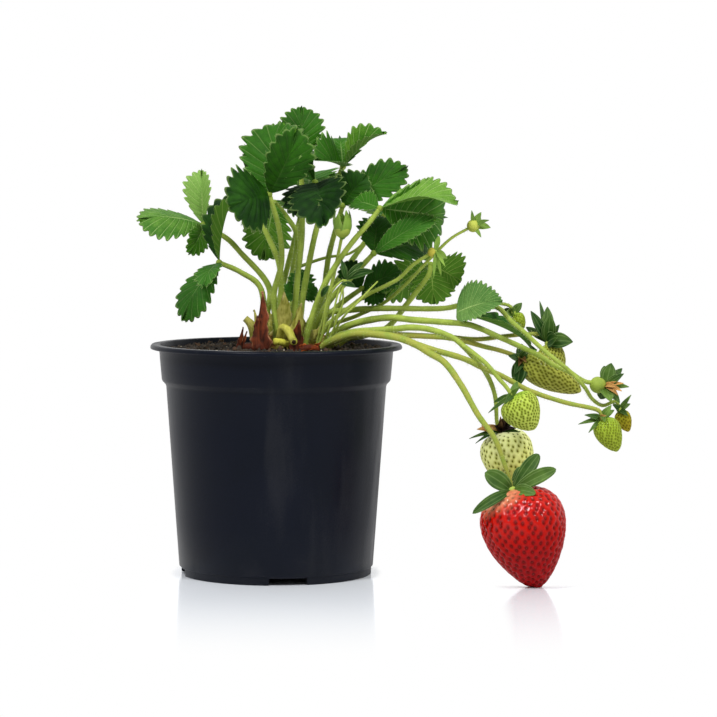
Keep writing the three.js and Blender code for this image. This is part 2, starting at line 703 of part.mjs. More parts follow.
// The sepals of a calyx: each row is where a tip lies from the middle of the calyx, how broad the
// sepal is and, where it bends over the fruit, its lift. A small calyx has evenly spaced sepals.
const calyces = {
  ripe: { tips: [
    [-16, -2, 7, 8], [-22, -14, -10, 6.5, 0.2], [9, 3, 15, 7.5], [18, -4, 9, 8],
    [10, -13, 0, 6, 0.15], [-6, 13, 7, 7], [7, 13, 3, 7], [-3, -8, 7, 4],
  ] },
  white: { tips: [
    [-16, -2, -4, 3, 0.15], [-13, -7, -6, 3, 0.25], [-9, 4, 0, 4], [3, 5, 6, 5], [6, -4, 4, 5],
    [10, -6, 0, 4, 0.2],
  ] },
  green: { tips: [
    [-12, 0, -9, 3], [-9, 5, -4, 4], [-4, -8, -4, 5, 0.2], [3, 4, 7, 5], [4, -6, 5, 4],
  ] },
  long: { tips: [
    [-7, -1, 2, 3.5], [-3, -4, -15, 7, 0.2], [-4, -8, -7, 4], [0, 3, 8, 5], [3, -6, 6, 4], [-2, 8, 3, 5],
  ] },
  hidden: { tips: [
    [13, -5, 1, 8, 0.2], [5, -9, 4, 8], [6, -3, 10, 3.5], [1, -3, 15, 7], [0, 3, 19, 6],
    [-4, 5, 22, 2.5], [-9, -1, 17, 5], [-11, 7, 8, 4],
  ] },
  young: { tips: [
    [3, 1, 10, 6.5], [7, 5, 7, 3], [7, -5, 6, 3], [1, -8, -5, 6], [-2, 6, -6, 5], [0, 8, 9, 5],
  ] },
  small: { tips: [
    [-12, 0, -3, 3], [-9, -2, 2, 4], [-7, -4, -7, 3], [1, -9, -1, 5, 0.2], [5, 0, 7, 5], [7, 6, 4, 4],
  ] },
  tiny: { sepals: 5, reach: 7, broad: 3.6, lean: 0.3 },
  withered: { tips: [[6, 0, 8, 3], [-4, -4, 3, 4], [4, -5, -3, 4, 0.2], [6, 4, 3, 3], [-3, 5, 3, 3]] },
};

// The trusses. The first stretch of each is rooted in the crown and the second one branches from
// it. Each stretch ends square on the calyx of its fruit.
const trusses = [
  {
    name: 'truss_ripe',
    stretches: [
      { fruit: 'ripe', radii: [2.3, 1.1], points: [[22, -10, 112], [25, -18, 119], [34, -27, 124],
        [42, -30, 126], [58, -34, 125], [69, -38, 122], [78, -42, 117], [86, -46, 112],
        [94, -50, 101], [102, -53, 87], [111, -54, 74]] },
      { fruit: 'small', radii: [1.7, 1.1], points: [[66, -37, 123], [78, -40, 119], [95, -37, 114],
        [105, -32, 109], [116, -27, 104], [129, -25, 97], [147, -25, 91]] },
    ],
  },
  {
    name: 'truss_white',
    stretches: [
      { fruit: 'white', radii: [2, 1], points: [[26, -4, 112], [30, -12, 122], [40, -20, 126],
        [60, -26, 128], [69, -28, 129], [79, -30, 128], [90, -30, 124], [97, -30, 118],
        [107, -26, 106], [112, -21, 94]] },
      { fruit: 'green', radii: [1.3, 1], points: [[94, -30, 121], [106, -37, 112],
        [113, -39, 104]] },
    ],
  },
  {
    name: 'truss_young',
    stretches: [
      { fruit: 'young', radii: [2, 1.1], points: [[20, 2, 112], [26, 1, 121], [38, -8, 129],
        [56, -12, 133], [70, -12, 132], [84, -12, 131], [97, -13, 130], [104, -14, 128],
        [113, -14, 124], [133, -16, 115], [141, -18, 110], [150, -18, 106], [158, -16, 101]] },
    ],
    knob: { centre: [165, -14, 99], radius: 4.3 },
  },
  {
    name: 'truss_long',
    stretches: [
      { fruit: 'long', radii: [1.9, 1.1], points: [[27, 4, 112], [34, 3, 120], [45, 0, 124],
        [58, -6, 124], [84, -8, 123], [96, -7, 121], [107, -6, 118], [115, -5, 116]] },
      { fruit: 'hidden', radii: [1.3, 1], points: [[88, -8, 123], [104, -2, 122],
        [122, 7, 125]] },
    ],
  },
  {
    name: 'truss_high',
    stretches: [
      { fruit: 'withered', radii: [1.7, 0.9], points: [[19, 7, 112], [20, 6, 126], [25, 5, 134],
        [38, 6, 136], [54, 4, 137], [84, 3, 137], [96, 4, 139], [104, 3, 140], [114, -7, 138],
        [120, -18, 132], [126, -24, 127], [137, -26, 117], [148, -25, 107], [155, -22, 99],
        [159, -14, 92], [164, -8, 89]] },
      { fruit: 'tiny', radii: [1, 0.9], points: [[96, 4, 139], [107, 7, 140]] },
    ],
  },
];

function stretchPoints({ points, fruit }) {
  const { up, centre } = calyxCentre(fruits[fruit]);
  const lead = centre.clone().addScaledVector(up, stemLeadIn);
  return [...points, lead.toArray(), centre.addScaledVector(up, -stemSink).toArray()];
}

function makeTruss({ stretches, knob }) {
  const parts = stretches.flatMap((stretch) => [
    stem(stretchPoints(stretch), stretch.radii),
    ...calyx(fruits[stretch.fruit], calyces[stretch.fruit])
      .map((leaf) => leaf.subtract(berryRoom(fruits[stretch.fruit]))),
  ]);
  if (knob) parts.push(ball(vector(knob.centre), knob.radius));
  return join(parts);
}

// Buds and flowers on thin stalks of their own.
const buds = [
  {
    name: 'bud_closed',
    stalk: { points: [[16, -8, 112], [24, -9, 128], [28, -10, 147], [31, -12, 161], [34, -14, 176]],
      radii: [1.2, 0.8] },
    head: { centre: [34, -14, 178], radius: 4.2 },
    root: { top: [34, -14, 174], tip: [34, -14, 160] },
    look: { sepals: 6, reach: 15, broad: 4.5, lean: 2.5, lift: -0.15 },
  },
  {
    name: 'bud_set',
    stalk: { points: [[17, 14, 112], [26, 13, 126], [42, 11, 133], [56, 9, 140], [67, 1, 150],
      [78, -5, 162], [89, -6, 173], [99, -6, 179]], radii: [1.2, 0.7] },
    head: { centre: [101, -6, 180], radius: 3.3 },
    root: { top: [100.5, -6, 179.8], tip: [90, -6, 175] },
    look: { tips: [
      [4, 0, 7, 4], [-1, -2, 8, 2.5], [8, -4, 3, 3], [9, 2, -1, 4.5], [4, -2, -6, 2.5], [4, 7, 4, 4],
    ] },
  },
  {
    name: 'flower_faded',
    stalk: { points: [[20, -3, 112], [24, -4, 126], [30, -3, 132], [38, -2, 138], [46, -3, 144],
      [54, -5, 148], [63, -8, 153], [70, -11, 160], [79, -13, 166]], radii: [1.3, 0.9] },
    head: { centre: [80, -13.4, 166.6], radius: 2.2 },
    root: { top: [81, -14.4, 167], tip: [72, -9, 161] },
    look: { tips: [
      [2, 3, 8, 4], [6, -1, -4, 5], [-1, -2, -14, 2.5], [3, 2, -13, 2.5], [5, -4, -8, 2.5], [-5, 5, -5, 3],
    ] },
  },
];

// Assembly.

const group = new THREE.Group();

function addPiece(name, solid, color, roughness = 0.6) {
  const material = new THREE.MeshStandardMaterial({ color, roughness, metalness: 0 });
  const mesh = new THREE.Mesh(toGeometry(solid), material);
  mesh.name = name;
  group.add(mesh);
}

const rooted = [
  ...leaves.map((leaf) => leafStalk(leaf.stalk, holeGap)),
  ...trusses.map(({ stretches: [main] }) => stem(stretchPoints(main), main.radii, { grow: holeGap })),
  ...buds.map(({ stalk }) => stem(stalk.points, stalk.radii, { grow: holeGap })),
];

addPiece('pot', makePot(), 0x1c2027, 0.35);
const holes = [crownCore(gap), stipuleBand(gap), driedPiece(gap), ...crownStubs(gap), ...rooted];
addPiece('soil', wholeBody(cut(makeSoil(), holes)), 0x2b2019, 0.95);
addPiece('crown', wholeBody(cut(crownBody(), rooted)), 0x9a8f4a);
addPiece('stipules', makeStipules(), 0x7a3018, 0.7);
addPiece('dried_piece', driedPiece(), 0xa8481c, 0.7);

for (const leaf of leaves) {
  const hub = leaf.stalk.at(-1);
  const spurs = (leaf.spurs ?? []).map((points) => stem(points, spurRadii));
  const stalk = leafStalk(leaf.stalk);
  addPiece(`${leaf.name}_stalk`, join([stalk, ...spurs]), 0x7fa23c);
  addPiece(`${leaf.name}_blades`, leafBlades(hub, leaf.leaflets), 0x2f6b1f, 0.5);
}

addPiece('bract_leaf', leafBlades([92, -13, 135.5], [
  { tip: [116, -21, 144], face: [-0.1, -0.75, 0.6], width: 27, fold: [0.05, 0.5], teeth: 5 },
  { tip: [138, 3, 113], face: [0.3, -0.3, 1], width: 16, fold: 0.7 },
]), 0x3f7a4a, 0.5);

for (const truss of trusses) addPiece(truss.name, makeTruss(truss), 0x86ad3c);

for (const { name, stalk, head, root, look } of buds) {
  addPiece(name, join([
    stem(stalk.points, stalk.radii),
    ball(vector(head.centre), head.radius, 8, 5),
    ...calyx(root, look),
  ]), 0xa9bf5a);
}

addPiece('berry_ripe', makeBerry(fruits.ripe), 0xc4161a, 0.3);
addPiece('berry_white', makeBerry(fruits.white), 0xc9d08a, 0.45);
for (const kind of ['green', 'long', 'hidden', 'young', 'small', 'tiny', 'withered']) {
  addPiece(`berry_${kind}`, makeBerry(fruits[kind]), 0x9fb548, 0.45);
}

export default group;
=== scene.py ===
# %% [markdown]
# # A strawberry plant in a nursery pot
#
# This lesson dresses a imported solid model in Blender. The model already holds every leaf, stem,
# fruit and the pot at its right place and size. Here each of them gets the surface of the real
# plant: toothed leaves with sunken veins, hairy stems, berries with seeds in pits, crumbly soil
# and satin black plastic.
#
# Lengths of the plant are written in millimetres, as a gardener would measure them, and turned
# into Blender's metres in one place, where a mesh is made.

import bpy
import numpy as np
from mathutils import Matrix


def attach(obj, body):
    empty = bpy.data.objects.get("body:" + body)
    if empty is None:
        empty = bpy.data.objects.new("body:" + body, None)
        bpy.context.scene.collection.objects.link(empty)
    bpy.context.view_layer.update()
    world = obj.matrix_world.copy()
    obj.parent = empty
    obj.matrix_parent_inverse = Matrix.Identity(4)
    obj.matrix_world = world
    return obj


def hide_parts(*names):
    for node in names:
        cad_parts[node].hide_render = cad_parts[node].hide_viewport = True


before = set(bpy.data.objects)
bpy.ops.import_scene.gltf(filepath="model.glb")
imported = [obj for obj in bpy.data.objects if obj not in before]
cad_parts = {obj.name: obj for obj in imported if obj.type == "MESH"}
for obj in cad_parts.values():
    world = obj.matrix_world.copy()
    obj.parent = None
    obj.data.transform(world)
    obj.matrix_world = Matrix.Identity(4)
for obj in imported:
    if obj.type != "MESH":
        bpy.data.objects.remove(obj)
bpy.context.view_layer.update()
print("solid parts:", len(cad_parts))

# %% [markdown]
# ## Camera
#
# The photograph was taken from about one and a half metres away, a little above the rim of the
# pot, with a long lens. The same place and lens are set here first, because every later choice
# is judged through them.

# %% Camera
CAMERA_PLACE = (0.0424, -1.5, 0.2134)
CAMERA_TILT = 0.068
CAMERA_ROLL = 0.003
FOCAL_PIXELS = 2911
PHOTO_SIDE = 717
SENSOR = 36.0

camera_data = bpy.data.cameras.new("camera")
camera_data.sensor_width = SENSOR
camera_data.lens = FOCAL_PIXELS * SENSOR / PHOTO_SIDE
camera_data.clip_start = 0.05
camera = bpy.data.objects.new("camera", camera_data)
camera.matrix_world = (
    Matrix.Translation(CAMERA_PLACE)
    @ Matrix.Rotation(np.pi / 2 - CAMERA_TILT, 4, "X")
    @ Matrix.Rotation(CAMERA_ROLL, 4, "Z")
)
bpy.context.scene.collection.objects.link(camera)
bpy.context.scene.camera = camera
print("lens:", round(camera_data.lens, 1), "mm")

# %% [markdown]
# ## Finishes: a short way to write shader maths
#
# A finish is a material whose colour, roughness and bump change over the surface. Wiring nodes
# by hand takes many lines, so a socket is wrapped in a small class that knows plus, minus, times
# and the absolute value. `1 - mask` then adds a Math node, and the recipe reads like the formula
# that it is.

# %% Signals and finishes
def linear(red, green, blue):
    """A screen colour, 0 to 255, as the linear light that a shader reads."""
    share = np.array([red, green, blue]) / 255
    light = np.where(share <= 0.04045, share / 12.92, ((share + 0.055) / 1.055) ** 2.4)
    return (*light.tolist(), 1.0)


class Signal:
    """One output socket of a finish. Arithmetic on it adds Math nodes."""

    def __init__(self, finish, socket):
        self.finish, self.socket = finish, socket

    def __add__(self, other):
        return self.finish.maths("ADD", self, other)

    def __sub__(self, other):
        return self.finish.maths("SUBTRACT", self, other)

    def __rsub__(self, other):
        return self.finish.maths("SUBTRACT", other, self)

    def __mul__(self, other):
        return self.finish.maths("MULTIPLY", self, other)

    def __abs__(self):
        return self.finish.maths("ABSOLUTE", self)

    __radd__ = __add__
    __rmul__ = __mul__


class Finish:
    """A material under construction, with the shader that light meets last."""

    def __init__(self, name, **constants):
        self.material = bpy.data.materials.new(name)
        self.material.use_nodes = True
        self.tree = self.material.node_tree
        self.shader = self.tree.nodes["Principled BSDF"]
        for socket, value in constants.items():
            self.shader.inputs[socket.replace("_", " ")].default_value = value

    def node(self, kind, settings=None, sockets=None, output=0):
        """Adds a node of this kind: its settings first, then the values or links it reads."""
        made = self.tree.nodes.new(kind)
        for name, value in (settings or {}).items():
            setattr(made, name, value)
        for name, value in (sockets or {}).items():
            self.feed(made.inputs[name], value)
        return Signal(self, made.outputs[output])

    def feed(self, socket, value):
        if isinstance(value, Signal):
            self.tree.links.new(value.socket, socket)
        else:
            socket.default_value = value

    def maths(self, operation, *values):
        return self.node("ShaderNodeMath", {"operation": operation}, dict(enumerate(values)))

    def larger(self, first, second):
        return self.maths("MAXIMUM", first, second)

    def past_half(self, value):
        """How far the fraction of the value is from one half."""
        return abs(self.maths("FRACT", value) - 0.5)

    def mark(self, name):
        """A number that the mesh stores at its corners, such as how far across a leaf it is."""
        return self.node("ShaderNodeAttribute", {"attribute_name": name}, output="Fac")

    def marks(self, *names):
        return [self.mark(name) for name in names]

    def place(self):
        return self.node("ShaderNodeTexCoord", output="Object")

    def noise(self, scale, detail=3.0, vector=None):
        sockets = {"Vector": vector or self.place(), "Scale": scale, "Detail": detail}
        return self.node("ShaderNodeTexNoise", None, sockets, "Fac")

    def cells(self, scale):
        """The distance to the nearest border of a net of cells."""
        sockets = {"Vector": self.place(), "Scale": scale}
        return self.node("ShaderNodeTexVoronoi", {"feature": "DISTANCE_TO_EDGE"}, sockets, "Distance")

    def step(self, value, low, high):
        """Rises smoothly from 0 to 1 while the value goes from low to high."""
        sockets = {"Value": value, "From Min": low, "From Max": high}
        return self.node("ShaderNodeMapRange", {"interpolation_type": "SMOOTHSTEP"}, sockets)

    def blend(self, share, first, second):
        """A colour that goes from the first to the second as the share goes from 0 to 1.

        A tuple is a screen colour: red, green and blue, 0 to 255.
        """
        first, second = (linear(*end) if isinstance(end, tuple) else end for end in (first, second))
        return self.node("ShaderNodeMix", {"data_type": "RGBA"}, {0: share, 6: first, 7: second}, 2)

    def drawn_out(self, height):
        """The object's coordinates with z times this, so that a pattern on them is drawn out."""
        sockets = {0: self.place(), 1: (1, 1, height)}
        return self.node("ShaderNodeVectorMath", {"operation": "MULTIPLY"}, sockets, "Vector")

    def bump(self, height, distance, strength=1.0):
        sockets = {"Height": height, "Distance": distance, "Strength": strength}
        return self.node("ShaderNodeBump", None, sockets)

    def set(self, **sockets):
        for socket, value in sockets.items():
            self.feed(self.shader.inputs[socket.replace("_", " ")], value)
        return self.material


print("white is", linear(255, 255, 255)[:3])

# %% [markdown]
# ## Surfaces: grids of points worked out as whole arrays
#
# Every piece below is a grid: rows along it and columns across or around it. numpy works out all
# the points of a grid at once. A `Surface` keeps the points, the faces and named marks, one
# number for each point, that the finishes read later.

# %% Surface
MM = 0.001


def point(values):
    return np.asarray(values, float)


class Surface:
    """Points in millimetres, faces as rows of corner numbers, and marks to colour by."""

    def __init__(self, points, faces, **marks):
        self.points = point(points)
        self.faces = faces
        self.marks = {
            name: np.broadcast_to(point(value), len(self.points))
            for name, value in marks.items()
        }


def joined(surfaces):
    """All surfaces as one. A mark that one of them lacks is 0 there."""
    names = sorted({name for surface in surfaces for name in surface.marks})
    starts = np.cumsum([0] + [len(surface.points) for surface in surfaces])
    faces = [part + start for surface, start in zip(surfaces, starts) for part in surface.faces]
    marks = {
        name: np.concatenate([s.marks.get(name, np.zeros(len(s.points))) for s in surfaces])
        for name in names
    }
    return Surface(np.concatenate([s.points for s in surfaces]), faces, **marks)


def tube_faces(rows, columns):
    """Quads between the rings of a tube, and a fan of triangles to a pole at either end."""
    ring = np.arange(columns)
    following = np.roll(ring, -1)
    start = np.arange(rows - 1)[:, None] * columns
    quads = np.stack([start + ring, start + following, start + columns + following,
                      start + columns + ring], -1).reshape(-1, 4)
    first, last = rows * columns, rows * columns + 1
    top = (rows - 1) * columns
    fan = np.stack([following, ring, np.full(columns, first)], -1)
    end = np.stack([top + ring, top + following, np.full(columns, last)], -1)
    return [quads, np.concatenate([fan, end])]


def closed_tube(rings, first_pole, last_pole, **marks):
    """A closed skin from rings of points, an array of rows by columns by 3, and its two poles."""
    rows, columns = rings.shape[:2]
    points = np.concatenate([rings.reshape(-1, 3), [first_pole, last_pole]])
    spread = {}
    for name, value in marks.items():
        value = np.broadcast_to(point(value), (rows, columns))
        spread[name] = np.concatenate([value.ravel(), [value[0].mean(), value[-1].mean()]])
    return Surface(points, tube_faces(rows, columns), **spread)


def copies(small, points, **marks):
    """A small surface repeated. The points are an array of copies by its own points by 3."""
    first = np.arange(len(points))[:, None, None] * len(small.points)
    faces = [(part[None] + first).reshape(-1, part.shape[1]) for part in small.faces]
    return Surface(points.reshape(-1, 3), faces, **marks)


def full_turn(count):
    return np.linspace(0, 2 * np.pi, count, endpoint=False)


def turned(radius, angle, height):
    """Rings about the upright axis: x = radius * cos(angle), y = radius * sin(angle)."""
    x, y = radius * np.cos(angle), radius * np.sin(angle)
    return np.stack([x, y, height + 0 * x], -1)


def unit(vectors):
    vectors = point(vectors)
    return vectors / np.maximum(np.linalg.norm(vectors, axis=-1, keepdims=True), 1e-9)


def piece(name, surface, material, nodes):
    """Puts a surface into Blender as a smooth object that stands for these solid parts."""
    mesh = bpy.data.meshes.new(name)
    faces = [face for part in surface.faces for face in part.tolist()]
    mesh.from_pydata((surface.points * MM).tolist(), [], faces)
    for mark, values in surface.marks.items():
        layer = mesh.attributes.new(mark, "FLOAT", "POINT")
        layer.data.foreach_set("value", values.astype(np.float32))
    mesh.shade_smooth()
    mesh.materials.append(material)
    made = bpy.data.objects.new(name, mesh)
    bpy.context.scene.collection.objects.link(made)
    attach(made, "root")
    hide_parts(*nodes)
    print(f"{name}: {len(mesh.vertices)} points")


print("a tube of 3 rings of 8 points has", sum(map(len, tube_faces(3, 8))), "faces")

# %% [markdown]
# ## Curves that stems follow
#
# A stem is drawn by a few points that it passes. Between them runs a Catmull-Rom curve, which
# goes through each point and leaves it in the direction of its two neighbours.

# %% Smooth paths and round stems
PATH_STEP = 1.6
FEWEST_STOPS = 6
CURVE_SAMPLES = 24
STEM_SIDES = 12


def smooth_path(points):
    """Points at even steps on the Catmull-Rom curve through the given ones.

    Between the points b and c, with neighbours a and d, the curve at share t is half of
    2b + (c - a) t + (2a - 5b + 4c - d) t^2 + (3b - a - 3c + d) t^3.
    """
    given = point(points)
    p = np.vstack([2 * given[0] - given[1], given, 2 * given[-1] - given[-2]])
    t = np.linspace(0, 1, CURVE_SAMPLES, endpoint=False)[None, :, None]
    a, b, c, d = (p[k:len(p) - 3 + k, None] for k in range(4))
    curve = (2 * b + (c - a) * t + (2 * a - 5 * b + 4 * c - d) * t**2
             + (3 * b - a - 3 * c + d) * t**3) / 2
    curve = np.vstack([curve.reshape(-1, 3), given[-1]])
    travelled = np.concatenate([[0], np.cumsum(np.linalg.norm(np.diff(curve, axis=0), axis=1))])
    stops = np.linspace(0, travelled[-1], max(FEWEST_STOPS, int(travelled[-1] / PATH_STEP)))
    return np.stack([np.interp(stops, travelled, curve[:, k]) for k in range(3)], -1), stops


def side_directions(path):
    """Two directions square to the path at each point. Both come from the one direction that the
    whole path bends least towards, so they never twist."""
    tangent = unit(np.gradient(path, axis=0))
    plane_normal = np.linalg.svd(path - path.mean(0))[2][2]
    side = unit(np.cross(tangent, plane_normal))
    return side, np.cross(tangent, side)


def circle(angle, side, other):
    """Directions at these angles from one side to the other: cos * side + sin * other."""
    return np.cos(angle)[..., None] * side + np.sin(angle)[..., None] * other


def stem(points, radii, sides=STEM_SIDES, ripple=0.04, tone=0.5, seed=0, **marks):
    """A round stem that tapers from the first radius to the last, with faint swellings.

    Ring point = path point + radius * circle(angle).
    """
    path, travelled = smooth_path(points)
    side, other = side_directions(path)
    share = travelled / travelled[-1]
    radius = np.interp(share, np.linspace(0, 1, len(radii)), radii)
    swelling = np.sin(travelled * 0.7 + seed) * np.sin(travelled * 0.23 + 2 * seed)
    radius = radius * (1 + ripple * swelling)
    angle = full_turn(sides)
    rings = path[:, None] + radius[:, None, None] * circle(angle, side[:, None], other[:, None])
    return closed_tube(rings, path[0], path[-1], tone=tone, **marks)


def ellipsoid(centre, radii, rows=10, columns=14, **marks):
    """A ball stretched by three radii: rings at polar angles, scaled on each axis."""
    polar = np.linspace(0, np.pi, rows + 2)[1:-1, None]
    ball = turned(np.sin(polar), full_turn(columns), np.cos(polar))
    centre, radii = point(centre), point(radii)
    pole = np.array([0, 0, 1.0]) * radii
    return closed_tube((ball * radii + centre)[::-1], centre - pole, centre + pole, **marks)


print("a path of 160 mm has", len(smooth_path([(0, 0, 0), (0, 0, 160)])[0]), "points")

# %% [markdown]
# ## Fine hairs
#
# Strawberry stems and leaf edges carry short pale hairs, which show in the photograph as a light
# fringe. Each hair is a slim closed spike of four faces. Thousands of them are made in one go,
# and they lean and vary by numbers drawn from a seeded generator.

# %% Hairs
STEM_HAIR_RADIUS, LEAF_HAIR_RADIUS = 0.045, 0.04


def hairs(roots, directions, length, thickness, seed):
    """One spike at each root: three base corners a third of a turn apart, and a tip."""
    dice = np.random.default_rng(seed)
    count = len(roots)
    lean = unit(unit(directions) + dice.normal(0, 0.25, (count, 3)))
    reach = length * dice.uniform(0.5, 1.0, (count, 1))
    across = unit(np.cross(lean, [0.31, 0.52, 0.79]))
    beside = np.cross(lean, across)
    turn = np.array([0, 2, 4]) * np.pi / 3
    base = roots[:, None] + thickness * circle(turn, across[:, None], beside[:, None])
    tips = roots + lean * reach
    spike = Surface(np.zeros((4, 3)), [np.array([[0, 1, 3], [1, 2, 3], [2, 0, 3], [2, 1, 0]])])
    return copies(spike, np.concatenate([base, tips[:, None]], 1), hair=1.0, tone=0.9)


def stem_hairs(surface, per_ring, length, seed, sides=STEM_SIDES):
    """Hairs that stand on a stem, at places drawn from its own grid of points."""
    dice = np.random.default_rng(seed)
    rings = surface.points[:-2].reshape(-1, sides, 3)
    row = dice.integers(2, len(rings) - 1, int(len(rings) * per_ring))
    column = dice.integers(0, sides, len(row))
    roots = rings[row, column]
    outward = unit(roots - rings[row].mean(1))
    return hairs(roots, outward, length, STEM_HAIR_RADIUS, seed + 1)


print("hair radius on stems and leaves:", STEM_HAIR_RADIUS, LEAF_HAIR_RADIUS, "mm")

# %% [markdown]
# ## Thin sheets: leaflets, sepals and papery scales
#
# A leaf blade is a sheet with two faces that meet in a sharp rim. The sheet is worked out once as
# a grid, from the stalk to the tip and from the left rim to the right one. Then both faces are
# moved apart along the grid's own normals, by a thickness that fades to nothing at the rim.

# %% Two-faced sheets
def sheet(middle, across, thickness, first_pole, last_pole, **marks):
    """A closed skin round a grid of middle points, whose columns run from the left rim to the right.

    Face points = middle point + or - normal * thickness / 2 * sqrt(1 - across^2).
    """
    normal = unit(np.cross(np.gradient(middle, axis=1), np.gradient(middle, axis=0)))
    raised = normal * (thickness / 2 * np.sqrt(np.clip(1 - across**2, 0, 1)))[None, :, None]
    inner = slice(-2, 0, -1)
    rings = np.concatenate([middle + raised, (middle - raised)[:, inner]], axis=1)
    both = {}
    for name, value in {**marks, "across": across[None]}.items():
        value = np.broadcast_to(value, middle.shape[:2])
        both[name] = np.concatenate([value, value[:, inner]], axis=1)
    under = np.repeat([0, 1], [len(across), len(across) - 2])[None]
    return closed_tube(rings, first_pole, last_pole, under=under, **both)


def blade_axes(base, tip, face):
    """The length of a blade and three square directions: along it, to its left and upwards."""
    along = point(tip) - point(base)
    length = np.linalg.norm(along)
    along = along / length
    left = unit(np.cross(face, along))
    return length, (along, left, np.cross(along, left))


def laid(base, axes, reach, off, rise):
    """Points of a blade: from its base this far along it, to its left and upwards."""
    along, left, up = axes
    return base + along * reach[..., None] + left * off[..., None] + up * rise[..., None]


print("an upright blade, face to the camera:", blade_axes((0, 0, 0), (0, 0, 30), (0, -1, 0)))

# %% [markdown]
# A strawberry leaflet starts as a wedge, is broadest past its middle and ends round. Its side
# veins leave the midrib and run forward to the rim, each into the point of one tooth. So the rows
# of the grid run like the veins: a row that starts at one place of the midrib ends further forward
# on the rim. Between two veins the blade bulges upwards, like a quilt.

# %% Leaflets
LEAFLET_ROWS, LEAFLET_COLUMNS = 74, 23
TEETH_START, TEETH_END = 0.26, 0.95
TOOTH_OUT, TOOTH_FORWARD = 0.3, 0.036
LEAFLET_THICKNESS = 0.45
HUB_LEAD = 0.6
MIDRIB_ROUNDING = 0.6
RUFFLE = 0.05
FRINGE_LENGTH = 1.3


def tooth_shape(phase):
    """1 at the top of each round tooth, where the phase is whole, and 0 in the notch before it."""
    past = (phase + 0.6) % 1
    return np.sin(np.pi * past**1.36) ** 0.7


def leaflet(hub, tip, face, width, tone=0.5, fold=0.2, arch=0.06, teeth=7, blue=0.0, wedge=1.25,
            seed=0):
    """One toothed leaflet from the hub of its leaf to its tip.

    At t, from 0 at the stalk to 1 at the tip, the rim has gone 0.97 (1 - cos(pi t)) / 2 of the
    length and stands off by half the width times sin(pi t^wedge)^1.3. The midrib has gone 0.75 t^1.4.
    """
    dice = np.random.default_rng(seed)
    hub, tip = point(hub), point(tip)
    base = hub + unit(tip - hub) * HUB_LEAD
    length, axes = blade_axes(base, tip, face)
    along, left, up = axes
    t = np.linspace(0, 0.985, LEAFLET_ROWS)[:, None]
    even = np.linspace(1, -1, LEAFLET_COLUMNS)
    across = 0.45 * even + 0.55 * np.sin(even * np.pi / 2)
    v, rim = across[None], np.abs(across[None])
    phase = (t - TEETH_START) / (TEETH_END - TEETH_START) * teeth
    toothed = np.clip((t - TEETH_START + 0.06) / 0.08, 0, 1)
    uneven = 1 + 0.35 * np.sin(phase * 1.7 + dice.uniform(0, 6)) * np.sin(phase * 0.9 + np.sign(v))
    tooth = (tooth_shape(phase) - 0.5) * toothed * uneven * rim**5
    half = np.maximum(0.8, width / 2 * np.sin(np.pi * t**wedge) ** 1.3)
    off = half * rim * (1 + TOOTH_OUT * 7 / teeth * tooth)
    middle_reach, rim_reach = 0.75 * t**1.4, 0.97 * (1 - np.cos(np.pi * t)) / 2
    share = middle_reach + (rim_reach - middle_reach) * rim**1.15 + TOOTH_FORWARD * tooth
    left_fold, right_fold = np.broadcast_to(fold, 2)
    angle = np.where(v > 0, left_fold, right_fold)
    crease = np.sqrt(off**2 + MIDRIB_ROUNDING**2) - MIDRIB_ROUNDING
    shift = dice.uniform(0, 6)
    quilt = np.abs(np.sin(np.pi * phase)) ** 0.6 * np.sin(np.pi * np.clip(rim, 0, 1) ** 0.8) ** 0.6
    swell = 0.011 * width * quilt * np.clip(t / 0.2, 0, 1) * (1 + 0.5 * np.sin(3.1 * phase + shift))
    ruffle = RUFFLE * half * rim**2 * np.sin(2 * np.pi * 1.6 * t + shift + 2 * np.sign(v))
    lift = arch * length * 4 * share * (1 - share) + swell + ruffle - 0.1 * length * rim * share**4
    middle = laid(base, axes, length * share, off * np.cos(angle) * np.sign(v),
                  crease * np.sin(angle) + lift)
    end = base + along * length - up * 0.02 * length
    blade = sheet(middle, across, LEAFLET_THICKNESS, base, end, phase=phase, tone=tone, blue=blue)
    keep = np.arange(8, LEAFLET_ROWS - 2, 2)
    side = np.tile([0, LEAFLET_COLUMNS - 1], len(keep))
    roots = middle[np.repeat(keep, 2), side]
    outward = left * np.where(side == 0, 1.0, -1.0)[:, None] + along * 0.7
    return joined([blade, hairs(roots, outward, FRINGE_LENGTH, LEAF_HAIR_RADIUS, seed + 7)])


print("one leaflet has", LEAFLET_ROWS * (2 * LEAFLET_COLUMNS - 2), "points on its blade")
